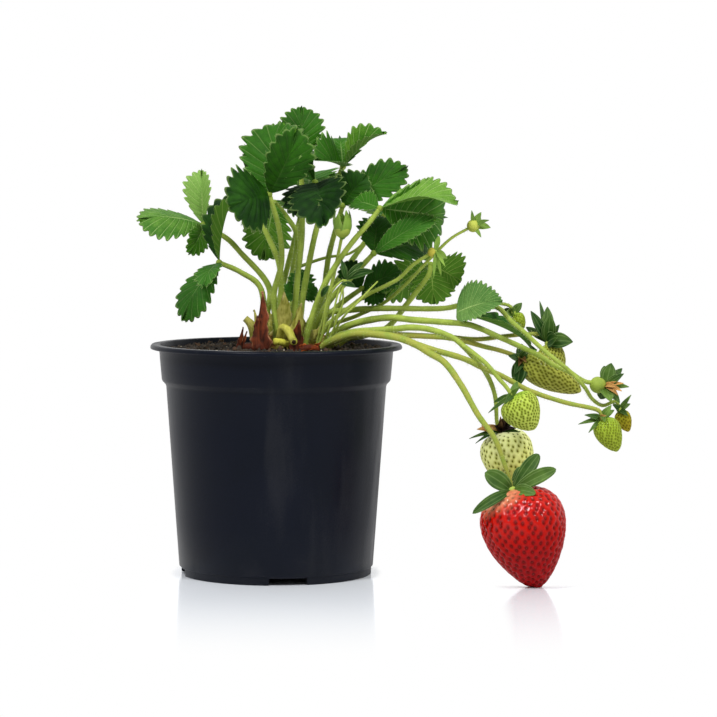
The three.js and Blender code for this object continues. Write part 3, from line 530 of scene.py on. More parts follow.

# %% [markdown]
# ## The leaves
#
# Sixteen leaves rise from the crown, each with three leaflets that meet in a hub. A stalk is
# given by the points that it passes. A leaflet is a row of its tip, the way it faces, its width
# and its tone, which says how light its green is. The tone is partly the leaflet's own green and
# partly painted light and shade: a leaflet in shade gets a low tone, a lit one a high tone. Where
# it differs from most, it also has a fold, an arch, a number of teeth or a bluish tint. All of it
# comes from looking at the plant.

# %% Leaf table
# A leaflet's tone is partly painted shade or light: low for shaded leaflets, high for lit ones.
LEAVES = {
    "leaf_01": (
        [(-8, 1, 112), (-6, 2, 130), (-4, 3, 148), (-19, 4, 166), (-26, 5, 173), (-38, 4, 180)],
        [((-70, -14, 184), (-0.1, -0.65, 0.8), 27, 0.64, dict(fold=-0.25, teeth=8, blue=0.4)),
         ((-39, 8, 209), (0, -1, 0.05), 20, 1.12, dict(fold=(0.5, 1.1), blue=0.7)),
         ((-44, -15, 166), (0.8, -0.3, 0.5), 13, 0.6, dict(fold=0.3))]),
    "leaf_02": (
        [(-6, -7, 112), (-6, -7, 130), (-8, -8, 148), (-18, -10, 156), (-29, -12, 161)],
        [((-48, -22, 132), (-0.4, -0.85, 0.4), 19, 0.36, dict(arch=0.1, fold=-0.1, blue=0.3)),
         ((-21, -9, 197), (-0.9, -0.4, 0.1), 24, 0.08, dict(fold=1.0)),
         ((-36, -36, 151), (-0.3, -0.5, 0.8), 13, 0.5, dict(teeth=6, blue=0.4))]),
    "leaf_03": (
        [(1, -12, 112), (0, -12, 130), (-1, -13, 145), (3, -17, 161), (2, -22, 178), (-3, -26, 196)],
        [((-22, -48, 191), (0.62, -0.7, 0.3), 32, 0.12, dict(arch=0.1, fold=0)),
         ((3, -14, 234), (-0.45, -0.85, 0.15), 35, 0.38, dict(fold=0.2)),
         ((12, -36, 229), (0.45, -0.85, 0.1), 26, 0.22, dict(fold=0.3))]),
    "leaf_04": (
        [(-1, -3, 112), (2, -5, 135), (2, -7, 158), (-5, -7, 176), (-14, -4, 194)],
        [((-14, 0, 222), (0.8, -0.5, 0.1), 22, 0.4, dict(fold=0.3)),
         ((-30, 16, 186), (-0.1, -0.2, 1), 17, 0.5),
         ((-12, 22, 202), (0.2, 0.1, 1), 20, 0.5)]),
    "leaf_05": (
        [(4, 13, 112), (8, 19, 141), (12, 20, 165), (13, 20, 186), (12, 20, 213)],
        [((12.5, 24, 242), (0.15, -0.95, 0.15), 22, 0.38, dict(fold=0.3)),
         ((-12, 30, 226), (-0.3, -0.8, 0.5), 24, 0.5),
         ((6, 50, 218), (0.2, -0.2, 1), 24, 0.5)]),
    "leaf_06": (
        [(7, -5, 112), (9, -6, 128), (10, -7, 141), (12, -8, 165), (14, -9, 186), (20, -13, 202)],
        [((10, -31, 186), (-0.3, -0.8, 0.5), 20, 0.0, dict(arch=0.12, fold=0)),
         ((25, -37, 181), (0.1, -0.7, 0.7), 31, 0.0, dict(arch=0.12, fold=(0.85, 0.05))),
         ((13, -3, 217), (-0.2, -0.9, -0.1), 15, 0.3, dict(fold=0.7))]),
    "leaf_07": (
        [(9, 4, 112), (12, 2, 130), (14, 3, 146), (21, 6, 180), (28, 16, 197), (34, 25, 210)],
        [((56, 18, 229), (-0.4, -0.5, 0.75), 21, 0.64, dict(fold=0.9)),
         ((20, 6, 214), (-0.1, -0.95, 0.3), 28, 0.38, dict(fold=(1.2, 0.1))),
         ((32, 46, 227), (0, -0.8, 0.5), 26, 0.5)]),
    "leaf_08": (
        [(13, -13, 112), (17, -17, 128), (24, -20, 148), (32, -20, 162), (40, -20, 173), (47, -18, 181),
         (53, -16, 189)],
        [((93, -22, 194), (0, 0, 1), 33, 0.84, dict(fold=(0.72, 0.05), teeth=10, blue=0.25)),
         ((89, 4, 184), (0.05, -1, 0.05), 34, 0.55, dict(fold=0.15)),
         ((38, -10, 192.5), (0, -0.55, 0.8), 18, 0.5)]),
    "leaf_09": (
        [(13, 13, 112), (18, 17, 128), (24, 19, 145), (27, 20, 165), (34, 10, 190)],
        [((46, 3, 206), (0, -0.9, 0.3), 21, 0.2, dict(fold=0.3)),
         ((68, 14, 211), (-0.2, -0.85, 0.1), 19, 0.3),
         ((50, 27, 206), (0, -0.8, 0.5), 18, 0.4)]),
    "leaf_10": (
        [(13, 0, 112), (20, 0, 128), (28, -4, 142), (40, -8, 155), (50, -13, 166)],
        [((81, -27, 185), (0, -0.85, 0.5), 14, 0.46, dict(fold=0.4, teeth=10, blue=0.3)),
         ((53, -2, 186), (-0.2, -0.9, 0.2), 19, 0.25),
         ((81, 14, 171), (0, -0.9, 0.3), 20, 0.3)]),
    "leaf_11": (
        [(24, 10, 112), (32, 13, 120), (44, 15, 122), (55, 16, 125), (61, 16, 130), (67, 16, 138),
         (74, 17, 147), (79, 19, 154), (80, 22, 159)],
        [((96, 22, 150), (0.2, 0.85, 0.5), 25, 0.76, dict(blue=0.1)),
         ((82, 26, 138), (0, 0.9, 0.4), 22, 0.68, dict(blue=0.1)),
         ((55, 28, 142), (-0.2, 0.85, 0.5), 25, 0.5, dict(blue=0.3))]),
    "leaf_12": (
        [(14, 8, 112), (22, 11, 127), (32, 11, 138), (44, 10, 147)],
        [((65, 8, 156), (0, -0.8, 0.5), 18, 0.3, dict(blue=0.5)),
         ((35, 6, 161), (-0.3, -0.8, 0.4), 14, 0.15),
         ((55, 3, 141), (0.2, -0.9, 0.4), 14, 0.2)]),
    "leaf_13": (
        [(-3, 7, 112), (0, 14, 130), (6, 26, 148), (10, 30, 172), (4, 36, 184), (-2, 31, 191)],
        [((-8, 22, 161), (0, -0.95, 0.3), 24, 0.7),
         ((-20, 44, 184), (-0.4, -0.6, 0.7), 22, 0.5),
         ((-4, 56, 190), (0.2, 0.2, 1), 22, 0.5)]),
    "leaf_14": (
        [(5, 8, 112), (8, 10, 126), (12, 11, 142)],
        [((13, 12, 157), (0, -0.9, 0.3), 13, 0.3, dict(teeth=6)),
         ((2, 9, 147), (-0.3, -0.8, 0.4), 11, 0.3, dict(teeth=6)),
         ((21, 9, 147), (0.3, -0.8, 0.4), 11, 0.3, dict(teeth=6))]),
    "leaf_15": (
        [(-2, 13, 112), (0, 27, 136), (8, 42, 170), (15, 50, 198)],
        [((18, 82, 208), (0, 0.3, 1), 28, 0.5),
         ((-16, 56, 204), (-0.2, 0.1, 1), 26, 0.45),
         ((46, 60, 206), (0.2, 0.1, 1), 26, 0.55)]),
    "leaf_16": (
        [(8, 16, 112), (20, 26, 134), (44, 38, 168), (56, 44, 184)],
        [((86, 54, 184), (0.3, 0.1, 1), 24, 0.5),
         ((58, 76, 184), (0, 0.3, 1), 26, 0.5),
         ((30, 58, 190), (-0.2, 0.1, 1), 22, 0.45)]),
}
LEAF_STALK_RADII = (1.8, 1.25)
# A thin bare stalk that crosses behind the leaves, one part with leaf_09's stalk.
SPUR_RADII = (0.9, 0.6)
SPUR = [(12, 23, 158), (20, 21, 161), (27, 20, 163), (38, 21, 165), (48, 20, 173)]
print("leaves:", len(LEAVES))

# %% [markdown]
# The green of a leaf has three parts. The blade itself runs from dark velvet to light green by the
# leaflet's tone, which is partly its own green and partly painted light and shade, and it is a
# little darker next to the sunken veins, as painted shade. Fine lines mark the midrib and the side
# veins, which the mesh counts in a mark called phase: wherever it is whole, there is a vein. A net
# of tiny cells fills the space between, its dark lines painted shade in the sunken net. Underneath,
# the leaf is pale and dull, with veins that stand out.

# %% Leaf finish
def leaf_finish():
    """Velvet to light green, partly painted light and shade, with a net of veins, a pale rim that is
    partly painted rim light, and a dull underside.
    """
    finish = Finish("leaf green", Specular_IOR_Level=0.12)
    phase, under, tone, blue, hair = finish.marks("phase", "under", "tone", "blue", "hair")
    rim = abs(finish.mark("across"))
    swing = finish.past_half(phase + 0.5)
    side_vein = 1 - finish.step(swing, 0.015, 0.075)
    midrib = 1 - finish.step(rim, 0.008, 0.04)
    vein = finish.larger(side_vein * 0.8, midrib)
    net = finish.step(finish.cells(1100), 0.0, 0.14)
    patch = finish.noise(45, 4)
    # Dark to light green by tone and patches: partly painted shade and light on each leaflet; the swing
    # term darkens next to the sunken veins as painted shade.
    shade = tone + (patch - 0.5) * 0.75 + (swing - 0.25) * 0.14 + (finish.noise(260) - 0.5) * 0.3
    dark = finish.blend(blue, (2, 33, 0), (10, 42, 6))
    middle = finish.blend(blue, (46, 102, 6), (48, 98, 34))
    light = finish.blend(blue, (122, 168, 56), (126, 164, 84))
    low = finish.blend(finish.step(shade, -0.1, 0.55), dark, middle)
    blade = finish.blend(finish.step(shade, 0.45, 1.15), low, light)
    # The pale veins show more on high tones, following the tone's painted light.
    veined = finish.blend(vein * finish.step(tone, 0.1, 0.9) * 0.68, blade, (182, 208, 128))
    # Dark lines along the borders of the cells, where the bump sinks the net: painted shade in its
    # grooves.
    net_shaded = finish.blend((1 - net) * 0.3, veined, (14, 46, 4))
    # A pale rim: partly the hair fringe, partly painted rim light.
    hairs_and_rim_light = finish.blend(finish.step(rim, 0.93, 1.0) * 0.42, net_shaded, (150, 182, 100))
    pale = finish.blend(vein, (90, 136, 42), (158, 186, 90))
    pale = finish.blend(finish.noise(120) * 0.5, pale, (60, 106, 18))
    sided = finish.blend(finish.step(under, 0.45, 0.55), hairs_and_rim_light, pale)
    flip = 1 - under * 2
    height = net * 0.3 + finish.noise(600, 2) * 0.3 - vein * flip * 0.6
    return finish.set(Base_Color=finish.blend(hair, sided, (214, 230, 170)),
                      Roughness=0.46 + finish.noise(300, 2) * 0.16 + under * 0.2,
                      Normal=finish.bump(height, 0.0003, 0.6))


def stem_finish():
    """Green stems, with a red flush, leafy sepals and dry rests where the marks say so."""
    finish = Finish("stem green", Specular_IOR_Level=0.16)
    tone, red, leafy, blue, dry = finish.marks("tone", "red", "leafy", "blue", "dry")
    streak, fine = finish.noise(160, 4), finish.noise(900, 2)
    shade = finish.step(tone + (streak - 0.5) * 0.7, 0, 1)
    base = finish.blend(shade, (70, 104, 8), (170, 188, 82))
    flushed = finish.blend(red * finish.step(streak, 0.3, 0.6), base, (150, 96, 40))
    deep = finish.blend(blue, (18, 58, 2), (30, 64, 14))
    soft = finish.blend(blue, (142, 178, 70), (104, 138, 56))
    blade = finish.blend(shade, deep, soft)
    line = 1 - finish.step(finish.past_half(finish.mark("phase")), 0.02, 0.16)
    lined = finish.blend(line * 0.16, blade, (170, 196, 124))
    edge = finish.step(abs(finish.mark("across")), 0.88, 1.0)
    rimmed = finish.blend(edge * 0.35, lined, (176, 200, 132))
    green = finish.blend(leafy, flushed, rimmed)
    withered = finish.blend(shade, (26, 16, 10), (196, 148, 84))
    golden = finish.blend(finish.mark("gold"), green, (206, 186, 70))
    faded = finish.blend(dry, golden, withered)
    return finish.set(Base_Color=finish.blend(finish.mark("hair"), faded, (226, 236, 180)),
                      Roughness=0.45 + fine * 0.2, Normal=finish.bump(fine + streak, 0.0002, 0.6))


leaf_green = leaf_finish()
stem_green = stem_finish()
print("leaf and stem finishes made")

# %% [markdown]
# The three blades of a leaf become one object and its stalk another, as they are two parts of the
# solid model. The stalk could be bare, but the fringe of hairs is what makes it look like a
# strawberry's. The bluish leaf among the fruit stems has two blades and no stalk of its own.

# %% Leaves
BRACT_HUB = (92, -13, 135.5)
HUB_RADII = (1.7, 1.7, 1.7)
for number, (name, (stalk, leaflets)) in enumerate(LEAVES.items()):
    hub = stalk[-1]
    blades = [leaflet(hub, tip, face, width, tone, seed=10 * number + k, **dict(*more))
              for k, (tip, face, width, tone, *more) in enumerate(leaflets)]
    piece(f"{name}_foliage", joined(blades), leaf_green, [f"{name}_blades"])
    skin = stem(stalk, LEAF_STALK_RADII, tone=0.6, seed=number)
    parts = [skin, stem_hairs(skin, per_ring=7, length=1.6, seed=number),
             ellipsoid(hub, HUB_RADII, tone=0.5)]
    if name == "leaf_09":
        parts.append(stem(SPUR, SPUR_RADII, sides=10, tone=0.6))
    piece(f"{name}_petiole", joined(parts), stem_green, [f"{name}_stalk"])

# The tones of these two blades partly paint light and shade, as in the leaf table.
bract = [
    leaflet(BRACT_HUB, (115.5, -21, 143), (-0.1, -0.75, 0.6), 29, 0.74, fold=(0.05, 0.5), teeth=11,
            blue=1.0, wedge=0.8, seed=301),
    leaflet(BRACT_HUB, (135.5, 2.5, 116.5), (0.3, -0.3, 1), 16, 0.4, fold=0.7, blue=0.6, seed=302),
]
piece("bract_leaf_foliage", joined(bract), leaf_green, ["bract_leaf"])

# %% [markdown]
# ## The fruit
#
# A strawberry is a swollen stalk end. The real fruits are the seeds on it, each in a small pit.
# They sit in spirals, each turned from the last by the golden angle, as in a sunflower, and the
# skin between them swells. The same formula gives every berry on the plant: only the length, the
# width, the number of seeds and the finish change.

# %% Berries
GOLDEN_ANGLE = np.pi * (3 - 5**0.5)
SHOULDER, TAPER = 0.62, 0.55
NO_FLOOR = -1e9
CENTRE_SHARE = 0.45
MEAN_SUNK, PIP_SUNK = 0.35, 0.42
PIP_LIFT, POLE_SHIFT = 0.3, 0.4
FRUITS = {
    "ripe": dict(top=(121.2, -49, 49.4), tip=(132.8, -49, -1), width=43, seeds=520, floor=0.0,
                 taper=0.62, pale_side=(-0.68, -0.32, 0.1)),
    "white": dict(top=(115, -18, 75), tip=(125, -18, 45), width=27, seeds=290),
    "green": dict(top=(120, -40, 95), tip=(131, -40, 78.5), width=20, seeds=380),
    "long": dict(top=(127, -5, 111), tip=(157, -5, 95), width=17, seeds=400),
    "hidden": dict(top=(141, 13, 118), tip=(147, 13, 99), width=14, seeds=260),
    "young": dict(top=(169.5, -14, 98), tip=(174.5, -14, 96), width=6, seeds=24),
    "small": dict(top=(166.5, -24, 82), tip=(174.5, -24, 66), width=14, seeds=270),
    "tiny": dict(top=(123, 8, 134), tip=(128, 8, 126.5), width=8, seeds=100),
    "withered": dict(top=(177, -8, 85), tip=(181.5, -8, 74.5), width=8.4, seeds=90),
}


def fruit_axes(top, tip):
    """The length of a fruit and its axis with two directions square to it."""
    axis = point(tip) - point(top)
    length = np.linalg.norm(axis)
    axis = axis / length
    side = unit(np.cross((0, 1, 0), axis))
    return length, axis, side, np.cross(axis, side)


def berry_point(top, tip, width, share, angle, taper):
    """A point of the smooth berry: the radius is half the width times sin(pi s^0.62)^taper."""
    length, axis, side, other = fruit_axes(top, tip)
    radius = width / 2 * np.sin(np.pi * share**SHOULDER) ** taper
    around = circle(angle, side, other) * radius[..., None]
    return point(top) + axis * (length * share)[..., None] + around


def seed_places(fruit, width, seeds):
    """Shares and angles of the seeds: the golden angle apart, even over the skin, a little shaken."""
    dice = np.random.default_rng(seeds)
    length = fruit_axes(**fruit)[0]
    fine = np.linspace(0.02, 0.985, 400)
    radius = width / 2 * np.sin(np.pi * fine**SHOULDER) ** TAPER
    slant = np.hypot(np.gradient(fine * length), np.gradient(radius))
    area = np.cumsum(radius * slant)
    wanted = np.clip((np.arange(seeds) + 0.5 + dice.normal(0, 2, seeds)) / seeds, 0, 1) * area[-1]
    return np.interp(wanted, area, fine), np.arange(seeds) * GOLDEN_ANGLE + dice.normal(0, 0.035, seeds)


def berry(top, tip, width, seeds, pit, pit_reach, pip, rows, columns, floor=NO_FLOOR, taper=TAPER,
          pale_side=(0, 0, 0.75)):
    """The skin of a berry with a pit round each seed, and its seeds, as two surfaces.

    Skin = smooth berry - outward * depth * exp(-(distance to the nearest seed / pit radius)^2).
    """
    fruit = dict(top=top, tip=tip)
    share = ((1 - np.cos(np.linspace(0, np.pi, rows + 2)[1:-1])) / 2)[:, None]
    share, angle = np.broadcast_arrays(share, full_turn(columns))
    smooth = berry_point(top, tip, width, share, angle, taper)
    seed_share, seed_angle = seed_places(fruit, width, seeds)
    spots = berry_point(top, tip, width, seed_share, seed_angle, taper)
    length, axis = fruit_axes(top, tip)[:2]
    between = (smooth.reshape(-1, 1, 3) - spots[None]).astype(np.float32)
    apart = np.sqrt((between**2).sum(-1) - 0.5 * (between @ axis) ** 2).min(1).reshape(share.shape)
    spacing = np.median(np.sort(np.linalg.norm(spots[:, None] - spots[None], axis=-1), axis=1)[:, 1])
    sunk = np.exp(-(apart / (pit_reach * spacing)) ** 2)
    centre = point(top) + axis * length * CENTRE_SHARE
    outward = unit(smooth - centre)
    skin = smooth - outward * (pit * (sunk - MEAN_SUNK))[..., None]
    skin[..., 2] = np.maximum(skin[..., 2], floor)
    spots_out = unit(spots - centre)
    spots = spots - spots_out * pit * PIP_SUNK
    spots[:, 2] = np.maximum(spots[:, 2], floor + PIP_LIFT)
    first_pole = point(top) + axis * POLE_SHIFT
    last_pole = np.maximum(tip, [NO_FLOOR, NO_FLOOR, floor])
    body = closed_tube(skin, first_pole, last_pole, share=share, pit=sunk,
                       facing=outward @ np.array(pale_side))
    grain = ellipsoid((0, 0, 0), (1.0, 0.5, 0.42), rows=3, columns=6)
    lengthways = unit(axis - spots_out * (spots_out @ axis)[:, None])
    frames = np.stack([lengthways, np.cross(spots_out, lengthways), spots_out], 1)
    size = pip * spacing
    points = np.einsum("pk,skx->spx", grain.points * size, frames) + spots[:, None]
    return joined([body, copies(grain, points, seed=1.0,
                                share=np.repeat(seed_share, len(grain.points)))])


print("golden angle:", round(np.degrees(GOLDEN_ANGLE), 1), "degrees, fruits:", len(FRUITS))

# %% [markdown]
# A ripe berry is glossy and deep red, pale only at the shoulder under the calyx. An unripe one is
# a waxy greenish white, and the youngest ones are green with brown seeds that nearly touch.

# %% Fruit finishes
def fruit_finish(name, top, low, shoulder, pit_shade, pip, gloss, coat=0.08, pit_start=0.12,
                 wet_top=0.0):
    """Flesh from its top to its low colour, pale near the calyx on the pale side, darker in the pits as
    painted shade.
    """
    finish = Finish(name, Specular_IOR_Level=0.03, Coat_Roughness=0.06)
    share, sunk, seed = finish.marks("share", "pit", "seed")
    cloud, fine = finish.noise(140), finish.noise(700)
    flesh = finish.blend(finish.step(share + (cloud - 0.5) * 0.3, 0.1, 0.8), top, low)
    # Darker in the pits: painted shade in the sunken pits round the seeds.
    shaded = finish.blend(finish.step(sunk, pit_start, 0.95) * 0.88, flesh, pit_shade)
    paling = 1 - finish.step(share + (cloud - 0.5) * 0.14 - finish.mark("facing") * 0.3, -0.2, 0.0)
    paled = finish.blend(paling * 0.86, shaded, shoulder)
    shadow = [0.5 * light for light in linear(*pip)[:3]] + [1.0]
    seeded = finish.blend(seed * (1 - paling * 0.5), paled, finish.blend(fine, pip, shadow))
    wet = wet_top * (1 - finish.step(share, 0.22, 0.5)) + coat
    return finish.set(Base_Color=seeded, Roughness=gloss + fine * 0.12 + seed * 0.1,
                      Coat_Weight=finish.step(cloud, 0.1, 0.5) * wet,
                      Normal=finish.bump(fine, 0.00015, 0.5))


# Each fruit's colours are its top, its low end, its pale shoulder, its pit colour, which is painted
# shade in the pits, and its seeds.
ripe_finish = fruit_finish("ripe berry", (188, 16, 0), (150, 0, 2), (238, 184, 136), (104, 0, 2),
                           (146, 36, 10), gloss=0.36, coat=0.16, pit_start=0.25, wet_top=0.36)
white_finish = fruit_finish("white berry", (228, 232, 156), (214, 220, 112), (228, 232, 176),
                            (148, 152, 40), (84, 82, 10), gloss=0.42)
green_finish = fruit_finish("green berry", (180, 200, 82), (188, 204, 90), (146, 178, 56),
                            (98, 112, 14), (76, 78, 10), gloss=0.45)
olive_finish = fruit_finish("olive berry", (164, 170, 72), (168, 170, 76), (146, 158, 56),
                            (90, 92, 12), (66, 60, 8), gloss=0.45)
tender_finish = fruit_finish("tender berry", (154, 178, 58), (152, 170, 52), (140, 170, 56),
                             (104, 120, 16), (150, 150, 56), gloss=0.45)
withered_finish = fruit_finish("withered berry", (166, 164, 40), (154, 140, 36), (140, 140, 34),
                               (112, 104, 18), (96, 76, 16), gloss=0.5, coat=0.0)
FRUIT_LOOKS = {
    "ripe": (ripe_finish, "ripe_berry"), "white": (white_finish, "white_berry"),
    "green": (green_finish, "green_berry"), "long": (olive_finish, "green_berry"),
    "hidden": (olive_finish, "green_berry"), "small": (tender_finish, "green_berry"),
    "tiny": (tender_finish, "green_berry"), "young": (withered_finish, "dry_petals"),
    "withered": (withered_finish, "withered_berry"),
}
SKINS = {
    "ripe": dict(pit=0.9, pit_reach=0.48, pip=0.16, rows=150, columns=230),
    "white": dict(pit=0.5, pit_reach=0.4, pip=0.24, rows=100, columns=150),
    "green": dict(pit=0.45, pit_reach=0.5, pip=0.22, rows=84, columns=130),
}
SMALL_SKIN = dict(pit=0.35, pit_reach=0.5, pip=0.22, rows=50, columns=80)
SKINS.update(tiny=SMALL_SKIN, young=SMALL_SKIN, withered=SMALL_SKIN)
for kind, values in FRUITS.items():
    made = berry(**values, **SKINS.get(kind, SKINS["green"]))
    finish, slot = FRUIT_LOOKS[kind]
    piece(f"berry_{kind}_fruit", made, finish, [f"berry_{kind}"])

# %% [markdown]
# ## Calyces and trusses
#
# Each berry hangs from a truss by its calyx, a star of pointed green sepals. A sepal is a sheet
# like a leaflet, but smooth at the rim, and it bends over the shoulder of the fruit.

# %% Sepals
SEPAL_ROWS, SEPAL_COLUMNS = 22, 13
SEPAL_THICKNESS = 0.4


def sepal(base, tip, face, width, bend=0.15, cup=0.3, tone=0.5, blue=0.0, seed=0, broadest=0.8,
          roundness=0.8, dry=0.0):
    """A blade: at t it stands off by half the width times sin(pi t^broadest)^roundness."""
    length, axes = blade_axes(base, tip, face)
    t = np.linspace(0, 0.97, SEPAL_ROWS)[:, None]
    across = np.linspace(1, -1, SEPAL_COLUMNS)
    rim = np.abs(across[None])
    half = np.maximum(width * 0.16 * (1 - t), width / 2 * np.sin(np.pi * t**broadest) ** roundness)
    off = half * across[None]
    rise = (bend * length * 4 * t * (1 - t) + half * rim**2 * cup
            + 0.04 * width * np.sin(7 * t + seed) * rim)
    return sheet(laid(base, axes, length * t, off, rise), across, SEPAL_THICKNESS, base, tip,
                 tone=tone, blue=blue, phase=across[None] * 1.5 + 0.5, leafy=1.0, dry=dry)


print("one sepal has", SEPAL_ROWS * (2 * SEPAL_COLUMNS - 2), "points")

# %% [markdown]
# A calyx is written as rows: the tip of each sepal as seen from the middle of the star, its width
# and how far it bends. The stars of the large fruits are copied from the photograph. The
# tiny one is too small to see, so evenly spaced sepals will do there.

# %% Calyces
CALYX_GAP = 0.65
SEPAL_FACE = (0, -1, 0.4)


def calyx_centre(fruit, shift=(0, 0, 0)):
    """Where the sepals of a fruit start, and the direction away from the fruit."""
    away = unit(point(fruit["top"]) - fruit["tip"])
    return fruit["top"] + away * CALYX_GAP + shift, away


def calyx(fruit, sepals, tone=0.5, blue=0.0, heart=1.6, broadest=0.8, roundness=0.8, swollen=1.2,
          shift=(0, 0, 0)):
    """The sepals of a fruit. Each row is a tip, seen from the middle, a width and a bend."""
    centre, _ = calyx_centre(fruit, shift)
    parts = [ellipsoid(centre, (heart,) * 3, tone=0.85)]
    for k, (x, y, z, width, *bend) in enumerate(sepals):
        parts.append(sepal(centre, centre + (x, y, z), SEPAL_FACE, width * swollen,
                           bend=bend[0] if bend else 0.1, tone=tone + 0.14 * np.sin(5 * k),
                           blue=blue, seed=k, broadest=broadest, roundness=roundness))
    return joined(parts)


def even_sepals(fruit, count, reach, lean, width):
    """Rows for evenly spaced sepals that lean back from the fruit; every third one leans more."""
    _, away = calyx_centre(fruit)
    side = unit(np.cross((0, 1, 0), away))
    k = np.arange(count)
    angle = 2 * np.pi * k / count
    way = unit(circle(angle, side, np.cross(away, side))
               + np.outer(lean + 0.35 * (k % 3 == 2), away))
    return [(*tip, width) for tip in way * (reach * np.where(k % 2, 0.85, 1.0))[:, None]]


CALYCES = {
    "ripe": dict(tone=0.35, blue=1.0, swollen=1.0, broadest=1.35, roundness=0.5, heart=2.8,
                 shift=(-1.4, -1.0, -1.9), sepals=[
        (-14, -3, 9.8, 9.6), (-20.5, -14, -9.6, 5.6, 0.2), (13.4, 3, 18.6, 7.6), (21.6, -4, 11.8, 7.6),
        (11, -13, 0.4, 6.4, 0.15), (-6, 13, 6, 7), (8, 13, 2, 7), (4, 4, 12, 4.5)]),
    "white": dict(tone=0.2, blue=0.3, swollen=0.8, broadest=0.6, sepals=[
        (-16, -2, -4, 3, 0.15), (-13, -7, -6, 3, 0.25), (-9, 4, 0, 4), (3, 5, 6, 5), (6, -4, 4, 5),
        (10, -6, 0, 4, 0.2)]),
    "green": dict(tone=0.3, blue=0.5, swollen=0.75, broadest=0.6, sepals=[
        (-12, 0, -9, 3), (-9, 5, -4, 4), (-4, -8, -4, 5, 0.2), (3, 4, 7, 5), (4, -6, 5, 4)]),
    "long": dict(tone=0.15, blue=0.7, sepals=[
        (-7, -1, 2, 3.5), (-3, -4, -15, 7, 0.2), (-4, -8, -7, 4), (0, 3, 8, 5), (3, -6, 6, 4),
        (-2, 8, 3, 5)]),
    "hidden": dict(tone=0.2, blue=0.5, swollen=1.1, broadest=1.0, sepals=[
        (13, -5, 1, 8, 0.2), (5, -9, 4, 8), (6, -3, 10, 3.5), (1, -3, 15, 7), (0, 3, 19, 6),
        (-4, 5, 22, 2.5), (-9, -1, 17, 5), (-11, 7, 8, 4)]),
    "young": dict(tone=0.3, blue=0.5, swollen=1.1, broadest=0.9, sepals=[
        (3, 1, 12, 7.5), (9, 5, 9, 4), (9, -5, 7, 4), (12, -3, 0, 3), (2, -8, -7, 7), (7, -6, -8, 4),
        (-2, 6, -7, 5), (0, 8, 10, 5)]),
    "small": dict(tone=0.35, blue=0.4, swollen=0.85, broadest=0.6, sepals=[
        (-12, 0, -3, 3), (-9, -2, 2, 4), (-7, -4, -7, 3), (1, -9, -1, 5, 0.2), (5, 0, 7, 5),
        (7, 6, 4, 4)]),
    "tiny": dict(tone=0.3, blue=0.3, sepals=even_sepals(FRUITS["tiny"], 5, 7, 0.3, 3.6)),
    "withered": dict(tone=0.3, blue=0.4, swollen=0.9, broadest=0.6, sepals=[
        (6, 0, 8, 3), (-4, -4, 3, 4), (4, -5, -3, 4, 0.2), (6, 4, 3, 3), (-3, 5, 3, 3)]),
}
print("calyces:", len(CALYCES))

# %% [markdown]
# A truss forks, so it is written as stretches. Each leads from the crown or a fork to one fruit,
# whose calyx gives the last two points of the stem. Between the trusses stands a tangle of young
# stalks and unopened blades, which is drawn with five of each.

# %% Truss tables
TRUSSES = {
    "truss_ripe": [
        ("ripe", (2.3, 1.1), [
            (22, -10, 112), (25, -18, 119), (34, -27, 124), (42, -30, 126), (58, -34, 125),
            (69, -38, 122), (78, -42, 117), (86, -46, 112), (94, -50, 101), (102, -53, 87),
            (111, -54, 74)]),
        ("small", (1.7, 1.1), [
            (66, -37, 123), (78, -40, 119), (95, -37, 114), (105, -32, 109), (116, -27, 104),
            (129, -25, 97), (147, -25, 91)])],
    "truss_white": [
        ("white", (2.0, 1.0), [
            (26, -4, 112), (30, -12, 122), (40, -20, 126), (60, -26, 128), (69, -28, 129),
            (79, -30, 128), (90, -30, 124), (97, -30, 118), (107, -26, 106), (112, -21, 94)]),
        ("green", (1.3, 1.0), [(94, -30, 121), (106, -37, 112), (113, -39, 104)])],
    "truss_young": [
        ("young", (2.0, 1.1), [
            (20, 2, 112), (26, 1, 121), (38, -8, 129), (56, -12, 133), (70, -12, 132), (84, -12, 131),
            (97, -13, 130), (104, -14, 128), (113, -14, 124), (133, -16, 115), (141, -18, 110),
            (150, -18, 106), (158, -16, 101)])],
    "truss_long": [
        ("long", (1.9, 1.1), [
            (27, 4, 112), (34, 3, 120), (45, 0, 124), (58, -6, 124), (84, -8, 123), (96, -7, 121),
            (107, -6, 118), (115, -5, 116)]),
        ("hidden", (1.3, 1.0), [(88, -8, 123), (104, -2, 121.5), (122, 7, 123)])],
    "truss_high": [
        ("withered", (1.7, 0.9), [
            (19, 7, 112), (20, 6, 126), (25, 5, 134), (38, 6, 136), (54, 4, 137), (84, 3, 137),
            (96, 4, 139), (104, 3, 140), (114, -7, 138), (120, -18, 132), (126, -24, 127),
            (137, -26, 117), (149.5, -25, 107), (157.5, -22, 98.5), (162, -15, 92), (168, -9, 88)]),
        ("tiny", (1.0, 0.9), [(96, 4, 139), (107, 7, 140)])],
}
# What is left of petals and dead sepals: a fruit, then tips seen from its calyx, a width and how
# light it is.
DRY_RESTS = {
    "truss_white": ("white", [
        (-12, -3, 1, 4, 0.9), (-10, -5, 3, 3, 0.7), (3, -6, 9, 4, 0.1), (6, -5, 6, 4, 0.0),
        (0, -6, 8, 3, 0.2), (-3, -6, 3, 5, 0.1), (8, -7, 2, 3, 0.1)]),
    "truss_young": ("young", [
        (5, -7, 0, 3, 0.8), (8, -6, -2, 3, 1.0), (9, -5, 2, 2.5, 0.9), (6, -8, -4, 3, 0.7)]),
    "truss_long": ("long", [(2, -7, -1, 3, 0.5), (-2, -6, -3, 3, 0.3)]),
    "truss_ripe": ("small", [(2, -6, 2, 2, 0.8)]),
}
RED_STEMS = {"truss_ripe": 0.25, "truss_long": 0.35}
CALYX_LEAD = 5
